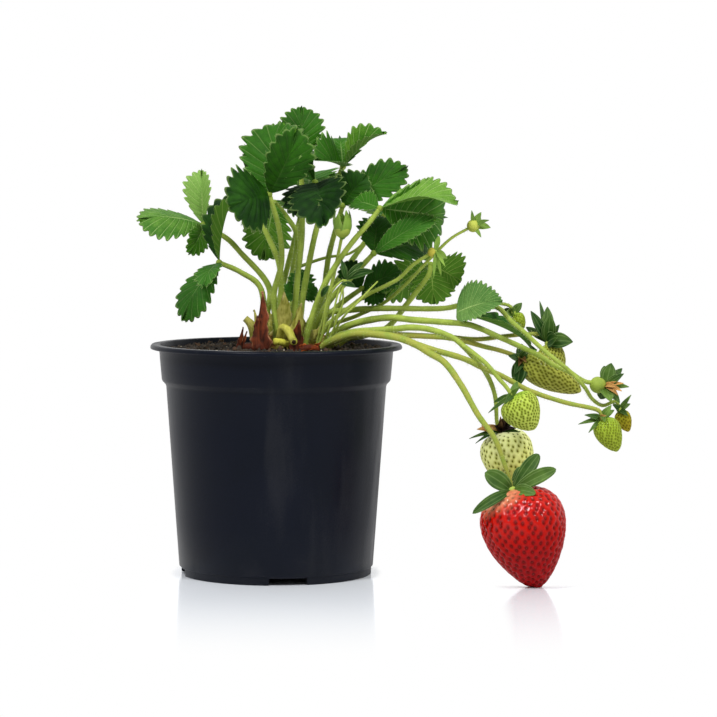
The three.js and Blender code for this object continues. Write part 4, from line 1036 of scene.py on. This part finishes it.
# Thin young stalks that curl among the others, and narrow blades not yet open: a foot, a tip, a
# width.
YOUNG_STALKS = [
    [(20, -13, 112), (21.7, -17, 122), (25, -23, 136), (28, -25, 146), (32, -26, 151),
     (35, -26.5, 153), (36.4, -27, 151.5), (34.2, -27, 148), (32.6, -27, 142)],
    [(22, -13, 113), (28.4, -22, 131), (30.4, -25, 140), (32.6, -25.5, 148), (36, -25, 153)],
    [(24, -13, 113), (31.4, -20, 128.6), (36, -24, 135.5), (40.5, -25, 140), (47, -24, 147),
     (52, -22, 152)],
    [(19, -14, 112), (23.8, -20, 124.5), (25.8, -24.5, 140), (27.4, -26, 150)],
    [(23, -14, 112), (28.4, -20, 124), (31.4, -24, 133), (34, -25.5, 140), (34.5, -26, 147),
     (33.5, -27, 151)],
]
YOUNG_BLADES = [
    ((36, -25, 153), (33.6, -22, 163), 3), ((36, -25, 153), (45, -20, 161.5), 3.4),
    ((36, -25, 153), (50, -20, 157), 4.6), ((27.4, -26, 150), (23.5, -24, 144), 3),
    ((33.5, -27, 151), (41, -25, 149), 3),
]
YOUNG_RADII = (0.75, 0.4)
YOUNG_SIDES = 8
# The middle and the radii of the ball of dead petals round the young fruit.
YOUNG_HEART = ((165, -14, 99), (4.3, 4.3, 4.3))
print("trusses:", len(TRUSSES))


# %% Trusses
def truss(name, stretches, seed):
    """The stems of one truss with the calyx at the end of each stretch."""
    parts = []
    for k, (fruit, radii, points) in enumerate(stretches):
        centre, away = calyx_centre(FRUITS[fruit], CALYCES[fruit].get("shift", (0, 0, 0)))
        skin = stem([*points, centre + away * CALYX_LEAD, centre], radii, tone=0.64, seed=seed + k,
                    red=RED_STEMS.get(name, 0.0))
        parts += [skin, stem_hairs(skin, per_ring=8, length=1.7, seed=seed + k),
                  calyx(FRUITS[fruit], **CALYCES[fruit])]
    if name in DRY_RESTS:
        fruit, tips = DRY_RESTS[name]
        centre, _ = calyx_centre(FRUITS[fruit])
        parts += [sepal(centre, centre + tip, SEPAL_FACE, width, cup=0.9, seed=k, dry=1.0, tone=light)
                  for k, (*tip, width, light) in enumerate(tips)]
    return joined(parts)


for number, (name, stretches) in enumerate(TRUSSES.items()):
    parts = [truss(name, stretches, 400 + 10 * number)]
    if name == "truss_young":
        parts.append(ellipsoid(*YOUNG_HEART, rows=20, columns=30, tone=0.62))
        stalks = [stem(points, YOUNG_RADII, sides=YOUNG_SIDES, tone=0.72, seed=k)
                  for k, points in enumerate(YOUNG_STALKS)]
        parts += stalks
        parts += [stem_hairs(skin, per_ring=3, length=1.6, seed=70 + k, sides=YOUNG_SIDES)
                  for k, skin in enumerate(stalks)]
        parts += [sepal(foot, tip, SEPAL_FACE, width, cup=0.8, tone=0.06, blue=0.3, seed=k)
                  for k, (foot, tip, width) in enumerate(YOUNG_BLADES)]
    piece(f"{name}_stems", joined(parts), stem_green, [name])

# %% [markdown]
# Three thin stalks of their own carry a closed bud, a fruit that has just set and a flower that
# has lost its petals. The head of each is a ball. The bud's sepals hug it, and the others spread.

# %% Buds and the faded flower
BUD_SEPALS = 5
BUD_SEPAL_HEIGHT, BUD_SEPAL_LEAN, BUD_SEPAL_WIDTH = 15.0, 3.2, 6.4
BUDS = {
    "bud_closed": dict(
        stalk=[(16, -8, 112), (24, -9, 128), (28, -10, 147), (31, -12, 161), (34, -14, 176)],
        radii=(1.2, 0.8), head=(34, -14, 178), radius=4.2, gold=0.0),
    "bud_set": dict(
        stalk=[(17, 14, 112), (26, 13, 126), (42, 11, 133), (56, 9, 140), (67, 1, 150), (78, -5, 162),
               (89, -6, 173), (99, -6, 179)],
        radii=(1.2, 0.7), head=(101, -6, 180), radius=3.3, gold=0.25,
        star=dict(fruit=dict(top=(100.5, -6, 179.8), tip=(90, -6, 175)), tone=0.5, blue=0.3, heart=0.8,
                  swollen=0.9, sepals=[(4, 0, 7, 4), (-1, -2, 8, 2.5), (8, -4, 3, 3), (9, 2, -1, 4.5),
                                       (4, -2, -6, 2.5), (4, 7, 4, 4)])),
    "flower_faded": dict(
        stalk=[(20, -3, 112), (24, -4, 126), (30, -3, 132), (38, -2, 138), (46, -3, 144), (54, -5, 148),
               (63, -8, 153), (70, -11, 160), (79, -13, 166)],
        radii=(1.3, 0.9), head=(80, -13.4, 166.6), radius=2.5, gold=0.7,
        star=dict(fruit=dict(top=(81, -14.4, 167), tip=(72, -9, 161)), tone=0.75, blue=0.1, heart=0.8,
                  swollen=0.75, sepals=[(2, 3, 8, 4), (6, -1, -4, 5), (-1, -2, -14, 2.5),
                                        (3, 2, -13, 2.5), (5, -4, -8, 2.5), (-5, 5, -5, 3)])),
}


def closed_sepals(centre, radius):
    """Sepals that hug a closed bud: they start under it, bulge round it and lean in at the top."""
    foot = point(centre) - (0, 0, radius + 0.6)
    parts = []
    for k in range(BUD_SEPALS):
        angle = 2 * np.pi * (k + 0.25) / BUD_SEPALS
        out = np.array([np.cos(angle), np.sin(angle), 0])
        tip = foot + out * BUD_SEPAL_LEAN + (0, 0, BUD_SEPAL_HEIGHT - 1.5 * (k % 2))
        parts.append(sepal(foot, tip, out, BUD_SEPAL_WIDTH, bend=0.19, cup=-0.2, tone=1.0, blue=0.2,
                           seed=k, broadest=0.7))
    return parts


for number, (name, look) in enumerate(BUDS.items()):
    skin = stem(look["stalk"], look["radii"], tone=0.75, seed=number)
    place, radius = look["head"], look["radius"]
    head = ellipsoid(place, (radius,) * 3, rows=16, columns=24, tone=0.85, gold=look["gold"])
    star = [calyx(**look["star"])] if "star" in look else closed_sepals(place, radius)
    parts = [skin, stem_hairs(skin, per_ring=6, length=1.4, seed=500 + number), head, *star]
    slot = "faded_flower" if name == "flower_faded" else "bud"
    piece(f"{name}_skin", joined(parts), stem_green, [name])

# %% [markdown]
# ## The pot
#
# The pot is a thin shell of satin black plastic. One outline is turned about the upright axis: up
# the outside from the foot, over the rolled rim and down the inside. The foot has four gaps for
# water to run out, which are made by lifting the foot's lower edge there.

# %% Pot
POT_OUTSIDE = [(0, 0), (8.6, 0), (9, 0.3), (10, 3.7), (10.4, 4), (14, 4), (20, 4), (26, 4), (47.2, 4),
               (47.7, 3.7), (47.7, 0.3), (47.9, 0), (49.0, 0), (49.3, 0.3), (49.3, 3.8), (49.8, 4.0),
               (50.2, 4.4), (51.9, 28), (53.6, 52), (55.3, 76), (56.8, 97.0), (57.2, 98.2),
               (58.8, 99.9), (59.1, 100.7), (59.5, 105), (60.1, 112), (60.4, 115.9), (60.7, 116.3),
               (64.2, 116.3), (64.8, 116.5), (65, 117.1), (64.8, 117.9), (64.3, 118.6), (63.8, 118.7)]
POT_INSIDE = [(60.5, 118.7), (60.1, 118.5), (59.9, 118.0), (59.3, 115.8), (58.5, 108), (57.9, 100.8),
              (55.7, 97.8), (52.3, 50), (49.2, 6), (48.8, 5.6), (30, 5.6), (0, 5.6)]
POT_COLUMNS = 240
NOTCH_TURN = np.radians(8.7)
NOTCH_HALF_WIDTH = 9.8
NOTCH_EDGE = 0.002
FOOT_RADIUS = 49.3
FOOT_INNER, FOOT_OUTER, FOOT_TOP = 47, 49.6, 3.4
FOOT_LIFT = 3.5


def pot_surface():
    """The outline turned about z. Two columns stand close together at each edge of a gap."""
    outline = np.array(POT_OUTSIDE + POT_INSIDE, float)
    half = np.arcsin(NOTCH_HALF_WIDTH / FOOT_RADIUS)
    middles = NOTCH_TURN - np.pi / 2 + np.arange(4) * np.pi / 2
    sides = [-half - NOTCH_EDGE, -half + NOTCH_EDGE, half - NOTCH_EDGE, half + NOTCH_EDGE]
    edges = (middles[:, None] + sides).ravel()
    angle = np.concatenate([full_turn(POT_COLUMNS), edges % (2 * np.pi)])
    angle = np.unique(np.round(angle, 5))
    off = np.abs((angle[:, None] - middles + np.pi) % (2 * np.pi) - np.pi).min(1)
    lifted = np.where(off < half, FOOT_LIFT, 0.0)
    radius, height = outline[1:-1, :1], outline[1:-1, 1:]
    foot = (radius > FOOT_INNER) & (radius < FOOT_OUTER) & (height < FOOT_TOP)
    height = np.where(foot, np.maximum(height, lifted[None]), height)
    return closed_tube(turned(radius, angle, height), (0, 0, 0), (0, 0, outline[-1, 1]))


def plastic_finish():
    """Nearly black with a blue cast and upright streaks that are partly dust and partly painted sheen.
    """
    finish = Finish("satin black plastic", Specular_IOR_Level=0.12)
    fine, cloud = finish.noise(1400), finish.noise(35, 4)
    streak = finish.noise(60, 5, finish.drawn_out(0.15))
    # Paler upright streaks: partly dust, partly painted sheen.
    dust_and_sheen = finish.step(streak + fine * 0.2, 0.62, 0.85)
    base = finish.blend(cloud, (2, 7, 18), (8, 13, 27))
    colour = finish.blend(dust_and_sheen * 0.12, base, (70, 70, 70))
    return finish.set(Base_Color=colour, Roughness=0.3 + cloud * 0.12 + dust_and_sheen * 0.2,
                      Normal=finish.bump(fine + streak * 2, 0.00012, 0.5))


piece("pot_shell", pot_surface(), plastic_finish(), ["pot"])

# %% [markdown]
# ## Soil, crown and old sheaths
#
# Potting soil is a heap of dark crumbs. One skin with a rough height formula gives the heap, and
# nearly a thousand loose grains break its outline, which a bump in the finish alone can't do.

# %% Soil
SOIL_ROWS, SOIL_COLUMNS = 100, 240
SOIL_SEED = 5
SOIL_RADIUS = 58.2
GRAIN_REACH = SOIL_RADIUS - 1.5
SOIL_WALL = np.array([(48.3, 6.0), (55.2, 97.0), (57.4, 101.6), (58.2, 112.5)])


def soil_height(x, y):
    """A low mound with wide lumps."""
    mound = 114.5 + 1.5 * np.sqrt(np.clip(1 - np.hypot(x, y) / 56.9, 0, 1))
    lumps = 0.8 * (np.sin(0.31 * x + 1.3) * np.cos(0.27 * y) + np.sin(0.13 * x - 0.47 * y))
    return mound + lumps


def soil_surface():
    """Rings from the rim to the middle, with a wall down to the base.

    The crumbs are 21 sine waves that cross at odd angles, seven of each size.
    """
    dice = np.random.default_rng(SOIL_SEED)
    angle = full_turn(SOIL_COLUMNS)[None]
    radius = (SOIL_RADIUS * np.linspace(1, 0.01, SOIL_ROWS) ** 0.8)[:, None]
    x, y = radius * np.cos(angle), radius * np.sin(angle)
    crumbs = np.zeros_like(x)
    for size in (3.0, 1.8, 1.1):
        for _ in range(7):
            way = dice.uniform(0, 2 * np.pi)
            along = x * np.cos(way) + y * np.sin(way)
            crumbs += 0.13 * size * np.sin(2 * np.pi * along / size / dice.uniform(1.2, 2.2)
                                           + dice.uniform(0, 6) + 1.3 * np.sin(y / size))
    z = soil_height(x, y) + np.abs(crumbs) ** 1.2 * 0.9 - 0.4
    top = np.stack([x, y, z], -1)
    walls = turned(SOIL_WALL[:, :1], angle, SOIL_WALL[:, 1:])
    return closed_tube(np.concatenate([walls, top]), (0, 0, SOIL_WALL[0, 1]), (0, 0, z[-1].mean()))


def grains(count, seed, low, high, **marks):
    """Loose grains on the soil: small stretched balls of 28 faces, sunk to half their height."""
    dice = np.random.default_rng(seed)
    radius = GRAIN_REACH * np.sqrt(dice.uniform(0, 1, count))
    angle = dice.uniform(0, 2 * np.pi, count)
    x, y = radius * np.cos(angle), radius * np.sin(angle)
    size = dice.uniform(low, high, (count, 1, 1)) * dice.uniform(0.6, 1.3, (count, 1, 3))
    ball = ellipsoid((0, 0, 0), (1, 1, 1), rows=3, columns=7)
    points = ball.points[None] * size * (1 + 0.25 * dice.normal(0, 1, (count, len(ball.points), 1)))
    points = points + np.stack([x, y, soil_height(x, y) + size[:, 0, 2] * 0.4], -1)[:, None]
    return copies(ball, points, **marks)


def soil_finish():
    """Dark peat with browner crumbs, chips of bark and pale specks."""
    finish = Finish("peat soil")
    cloud, fine = finish.noise(220, 5), finish.noise(1300, 4)
    peat = finish.blend(finish.step(cloud, 0.3, 0.7), (20, 15, 9), (54, 42, 28))
    crumbly = finish.blend(finish.step(fine, 0.55, 0.7) * 0.5, peat, (84, 66, 44))
    chipped = finish.blend(finish.mark("chip"), crumbly, (70, 48, 28))
    colour = finish.blend(finish.mark("speck"), chipped, (170, 160, 140))
    return finish.set(Base_Color=colour, Roughness=0.85 + fine * 0.1,
                      Normal=finish.bump(fine + cloud * 2, 0.0009, 1.0))


soil_parts = [soil_surface(), grains(700, 21, 0.5, 1.3), grains(160, 22, 0.4, 0.9, speck=1.0),
              grains(120, 23, 0.8, 1.7, chip=1.0)]
piece("soil_top", joined(soil_parts), soil_finish(), ["soil"])

# %% [markdown]
# The crown is the short thick stem that all stalks leave. Old leaves have left torn sheaths, cut
# stubs and red-brown papery scales on it. They are sheets with ribs and a jagged rim, so one
# function makes them all, from green-yellow sheath to dry scrap.

# %% Crown tables
# Foot, tip, the way it faces and its width.
SHEATHS = [
    ((3, -13, 117), (4.5, -16, 146), (0.1, 1, 0.1), 12),
    ((9, -15, 117), (13, -18, 140), (0.1, 1, 0.1), 8),
    ((18, -12, 116), (24, -19, 131), (-0.4, 1, 0.1), 8),
    ((-8, -4, 118), (-12, -7, 136), (1, 0.5, 0.1), 7),
    ((-2, 8, 118), (-6, 13, 138), (0.2, -1, 0.1), 9),
    ((10, 14, 116), (12, 20, 134), (0, -1, 0.1), 9),
]
# Points, radii and how yellow the cut is.
STUBS = [
    ([(-7, -7, 114), (-10.5, -9, 122), (-12.6, -10, 129), (-15.8, -10, 132.4)], (3.0, 1.9), 0.12),
    ([(2, -13, 122), (3.4, -17, 128), (6.4, -21, 127), (9.2, -24, 121.8)], (2.0, 2.0), 0.4),
    ([(6.5, -18, 119.5), (3, -22, 121), (-0.4, -24, 121.5)], (1.7, 1.75), 0.95),
]
STIPULES = [
    ((-6.5, -18, 117), (-7.5, -19, 146), (0.7, 1, 0), 9),
    ((-7.5, -21, 117), (-9, -22, 134), (-0.2, 1, 0), 8),
    ((-19, -14, 117), (-17, -17, 128), (0.8, 1, 0), 3.4),
    ((-17, -14, 117), (-15, -16, 126), (1, 0.7, 0), 3.2),
    ((11.5, -21, 116), (12, -21.3, 132), (-0.3, 1, 0), 7.5),
]
CROWN_ROWS, CROWN_COLUMNS = 30, 60
CROWN_CENTRE = np.array([9.0, 0, 106])
CROWN_RADII = (26, 20, 21)
HUSK_ROWS, HUSK_COLUMNS = 36, 19
HUSK_THICKNESS = 0.45
SHEATH_SWELL, STIPULE_SWELL = 1.25, 1.1
# Where along a scale's length the colour of a stub is taken from.
WORN = 0.6
print("sheaths, stubs and scales:", len(SHEATHS), len(STUBS), len(STIPULES))


# %% Crown shapes
def crown_core():
    """A lumpy ball round the place where all the stalks start."""
    polar = np.linspace(np.pi, 0, CROWN_ROWS + 2)[1:-1, None]
    angle = full_turn(CROWN_COLUMNS)[None]
    ring = 6 * polar / np.pi
    knob = (1 + 0.05 * np.sin(3 * angle + 2 * ring) + 0.04 * np.cos(5 * angle - ring)
            + 0.03 * np.sin(11 * angle))
    wide, deep, high = CROWN_RADII
    ball = np.stack([wide * knob * np.sin(polar) * np.cos(angle),
                     deep * knob * np.sin(polar) * np.sin(angle), high * np.cos(polar) + 0 * angle], -1)
    pole = [0, 0, high]
    return closed_tube(ball + CROWN_CENTRE, CROWN_CENTRE - pole, CROWN_CENTRE + pole)


def husk(base, tip, face, width, cup=0.8, seed=0):
    """A dry scale: at t its half width is half the width times (1 - t^1.7)^0.95, with a torn rim.

    It wraps round by `cup` towards its face and carries faint ribs along its length.
    """
    dice = np.random.default_rng(seed)
    length, axes = blade_axes(base, tip, face)
    t = np.linspace(0, 0.98, HUSK_ROWS)[:, None]
    across = np.linspace(1, -1, HUSK_COLUMNS)
    v, rim = across[None], np.abs(across[None])
    first, second, third = dice.uniform(0, 6, 3)
    torn = 1 + (0.16 * np.sin(13 * t + first + 2 * np.sign(v)) + 0.1 * np.sin(29 * t + second)) * rim**2
    half = np.maximum(0.3, width / 2 * (1 - t**1.7) ** 0.95 * torn)
    jagged = 0.05 * length * np.sin(9 * v + third) * t**2
    ribs = 0.16 * np.sin(11 * v + second) * (1 - rim**4)
    rise = half * rim**2 * cup + ribs + 0.07 * length * np.sin(3 * t + first)
    middle = laid(base, axes, length * t + jagged, half * v, rise)
    return sheet(middle, across, HUSK_THICKNESS, base, tip, reach=t)


print("one scale has", HUSK_ROWS * (2 * HUSK_COLUMNS - 2), "points")

# %% [markdown]
# Everything dry has the same fibres and torn rims. Only the colours differ: green-yellow for the
# sheaths, red-brown for the papery scales and orange for the scrap of stem in front of the crown.

# %% Crown, scales and dried piece
def dry_finish(name, light, dark, rim, foot):
    """Fibres from dark to light, with a thin pale rim and another colour at the foot."""
    finish = Finish(name, Specular_IOR_Level=0.2)
    reach, across, cut, hole = finish.marks("reach", "across", "cut", "hole")
    fibre = finish.noise(900, 4, finish.drawn_out(0.12))
    cloud = finish.noise(220, 4)
    base = finish.blend(finish.step(fibre * 0.5 + cloud * 0.6, 0.38, 0.72), dark, light)
    near_foot = 1 - finish.step(reach, 0.0, 0.35)
    footed = finish.blend(near_foot * finish.step(cloud, 0.35, 0.6), base, foot)
    edge = finish.larger(finish.step(abs(across), 0.82, 1.0), finish.step(reach, 0.86, 1.0))
    rimmed = finish.blend(edge * finish.step(cloud, 0.4, 0.6), footed, rim)
    # Nearly black on the ball in the cut end: painted shade inside the stub's hollow.
    colour = finish.blend(hole, finish.blend(cut, rimmed, (198, 196, 70)), (34, 20, 8))
    return finish.set(Base_Color=colour, Roughness=0.6 + fibre * 0.25,
                      Normal=finish.bump(fibre + cloud, 0.0006, 0.9))


crown_finish = dry_finish("crown sheath", (190, 184, 98), (122, 122, 36), (212, 196, 138),
                          (118, 72, 30))
stipule_finish = dry_finish("dry stipule", (114, 50, 22), (40, 14, 4), (190, 136, 96), (70, 26, 10))
orange_finish = dry_finish("dry orange piece", (166, 72, 16), (70, 24, 4), (190, 104, 40),
                           (70, 26, 8))

crown_parts = [crown_core()]
crown_parts += [husk(base, tip, face, width * SHEATH_SWELL, seed=20 + k)
                for k, (base, tip, face, width) in enumerate(SHEATHS)]
crown_parts += [stem(points, radii, seed=k, ripple=0.1, reach=WORN, cut=cut)
                for k, (points, radii, cut) in enumerate(STUBS)]
# The cut end of the bent stub, and a dark ball in it: painted shade inside the hollow stub.
crown_parts += [ellipsoid((9.4, -24.4, 121.5), (2.0, 1.3, 2.0), cut=0.6, reach=WORN),
                ellipsoid((9.6, -25.4, 121.3), (1.2, 0.6, 1.1), hole=1.0, reach=WORN)]
piece("crown_body", joined(crown_parts), crown_finish, ["crown"])

stipule_parts = [stem([(-18, -8, 118), (-15, -15, 118), (-7, -21, 118)], (2.2, 2.2), ripple=0.15)]
stipule_parts += [husk(base, tip, face, width * STIPULE_SWELL, cup=0.5, seed=40 + k)
                  for k, (base, tip, face, width) in enumerate(STIPULES)]
piece("stipules_papery", joined(stipule_parts), stipule_finish, ["stipules"])
dried_parts = [stem([(13.5, -25, 116.5), (17, -26, 118.5), (22, -24, 117.5)], (1.9, 1.7),
                    ripple=0.15),
               husk((12.5, -25.5, 117.2), (22.5, -26, 119.3), (0, -0.8, 0.6), 4.2, seed=61),
               husk((19, -25, 117), (23, -25, 121), (0, -1, 0.2), 3.6, seed=62)]
piece("dried_piece_skin", joined(dried_parts), orange_finish, ["dried_piece"])

# %% [markdown]
# ## Floor and light
#
# The photograph shows the plant on a glossy white floor. It mirrors the pot and the ripe berry,
# and is plain white everywhere else. A mirror alone would also show the room, so the finish glows
# white in front, behind and beside the two mirror images, and leaves them and the foot clear.

# %% Floor
FLOOR_SIDE = 6.0
FADE_START, FADE_END = -0.07, -0.27
POT_MIRROR, BERRY_X, BERRY_MIRROR, MIRROR_EDGE = 0.054, 0.132, 0.012, 0.01
SIDE_START, SIDE_END, SIDE_EDGE = -0.052, -0.044, -0.004
BACK_START, BACK_END = 0.0, 0.03
CLEAR_START, CLEAR_END = 0.05, 0.056


def floor_finish():
    """White gloss, mixed with a white glow by how far a place is from the mirror images."""
    finish = Finish("white floor", Base_Color=linear(244, 248, 254))
    place = finish.place()
    x, y = (finish.node("ShaderNodeSeparateXYZ", None, {"Vector": place}, axis) for axis in "XY")
    from_pot = finish.node("ShaderNodeVectorMath", {"operation": "LENGTH"}, {0: place}, "Value")
    past_pot = abs(x) - POT_MIRROR
    beside = finish.step(y, SIDE_START, SIDE_END) * finish.step(past_pot, SIDE_EDGE, 0.0)
    behind = finish.larger(beside, finish.step(y, BACK_START, BACK_END))
    around = finish.larger(finish.step(y, FADE_START, FADE_END), behind)
    past_both = finish.maths("MINIMUM", past_pot, abs(x - BERRY_X) - BERRY_MIRROR)
    glare = finish.larger(around, finish.step(past_both, 0.0, MIRROR_EDGE))
    glare = glare * finish.step(from_pot, CLEAR_START, CLEAR_END)
    finish.set(Roughness=0.1 + finish.noise(30, 2) * 0.04)
    gloss = Signal(finish, finish.shader.outputs[0])
    glow = finish.node("ShaderNodeEmission", None, {"Color": (1, 1, 1, 1), "Strength": 1.0})
    mixed = finish.node("ShaderNodeMixShader", None, {0: glare, 1: gloss, 2: glow})
    finish.feed(finish.tree.nodes["Material Output"].inputs["Surface"], mixed)
    return finish.material


half = FLOOR_SIDE / 2
floor_mesh = bpy.data.meshes.new("floor")
floor_mesh.from_pydata([(-half, -half, 0), (half, -half, 0), (half, half, 0), (-half, half, 0)], [],
                       [(0, 1, 2, 3)])
floor_mesh.materials.append(floor_finish())
floor = bpy.data.objects.new("floor", floor_mesh)
bpy.context.scene.collection.objects.link(floor)
print("floor:", FLOOR_SIDE, "m wide")

# %% [markdown]
# Product photographs are lit by large soft lamps in a white room. Here the room is the world: its
# light grows from the camera's side to the far side, which keeps the leaves from looking flat. Two
# lamps above and in front give the highlights on the ripe berry and the shine of the pot.

# %% Light
ROOM_FRONT, ROOM_BACK = 0.4, 1.0
ROOM_RAMP = (-0.6, 0.7)
LAMP_TARGET = (0.05, 0, 0.12)
LAMP_DEPTH = 0.3

world = bpy.data.worlds.new("studio")
world.use_nodes = True
sky = world.node_tree
direction = sky.nodes.new("ShaderNodeTexCoord")
parts_of_direction = sky.nodes.new("ShaderNodeSeparateXYZ")
ramp = sky.nodes.new("ShaderNodeMapRange")
ramp.inputs["From Min"].default_value, ramp.inputs["From Max"].default_value = ROOM_RAMP
ramp.inputs["To Min"].default_value, ramp.inputs["To Max"].default_value = ROOM_FRONT, ROOM_BACK
sky.links.new(direction.outputs["Generated"], parts_of_direction.inputs["Vector"])
sky.links.new(parts_of_direction.outputs["Y"], ramp.inputs["Value"])
sky.links.new(ramp.outputs["Result"], sky.nodes["Background"].inputs["Strength"])
sky.nodes["Background"].inputs["Color"].default_value = (1, 1, 1, 1)
bpy.context.scene.world = world


def soft_lamp(name, place, width, power):
    """A round or oval area lamp of this width in metres, turned to face the plant."""
    data = bpy.data.lights.new(name, "AREA")
    data.shape, data.size, data.size_y, data.energy = "ELLIPSE", width, LAMP_DEPTH, power
    lamp = bpy.data.objects.new(name, data)
    way = point(LAMP_TARGET) - place
    side = unit(np.cross(way, (0, 0, 1)))
    upward = unit(np.cross(side, way))
    axes = np.stack([side, upward, -unit(way)], 1)
    lamp.matrix_world = Matrix.Translation(place) @ Matrix(axes.tolist()).to_4x4()
    bpy.context.scene.collection.objects.link(lamp)
    print(name, "lamp:", power, "W")


soft_lamp("key", (-0.6, -0.8, 1.3), 0.3, 15)
soft_lamp("fill", (0.7, -0.85, 1.15), 0.5, 11)
bpy.context.scene.view_settings.view_transform = "Standard"
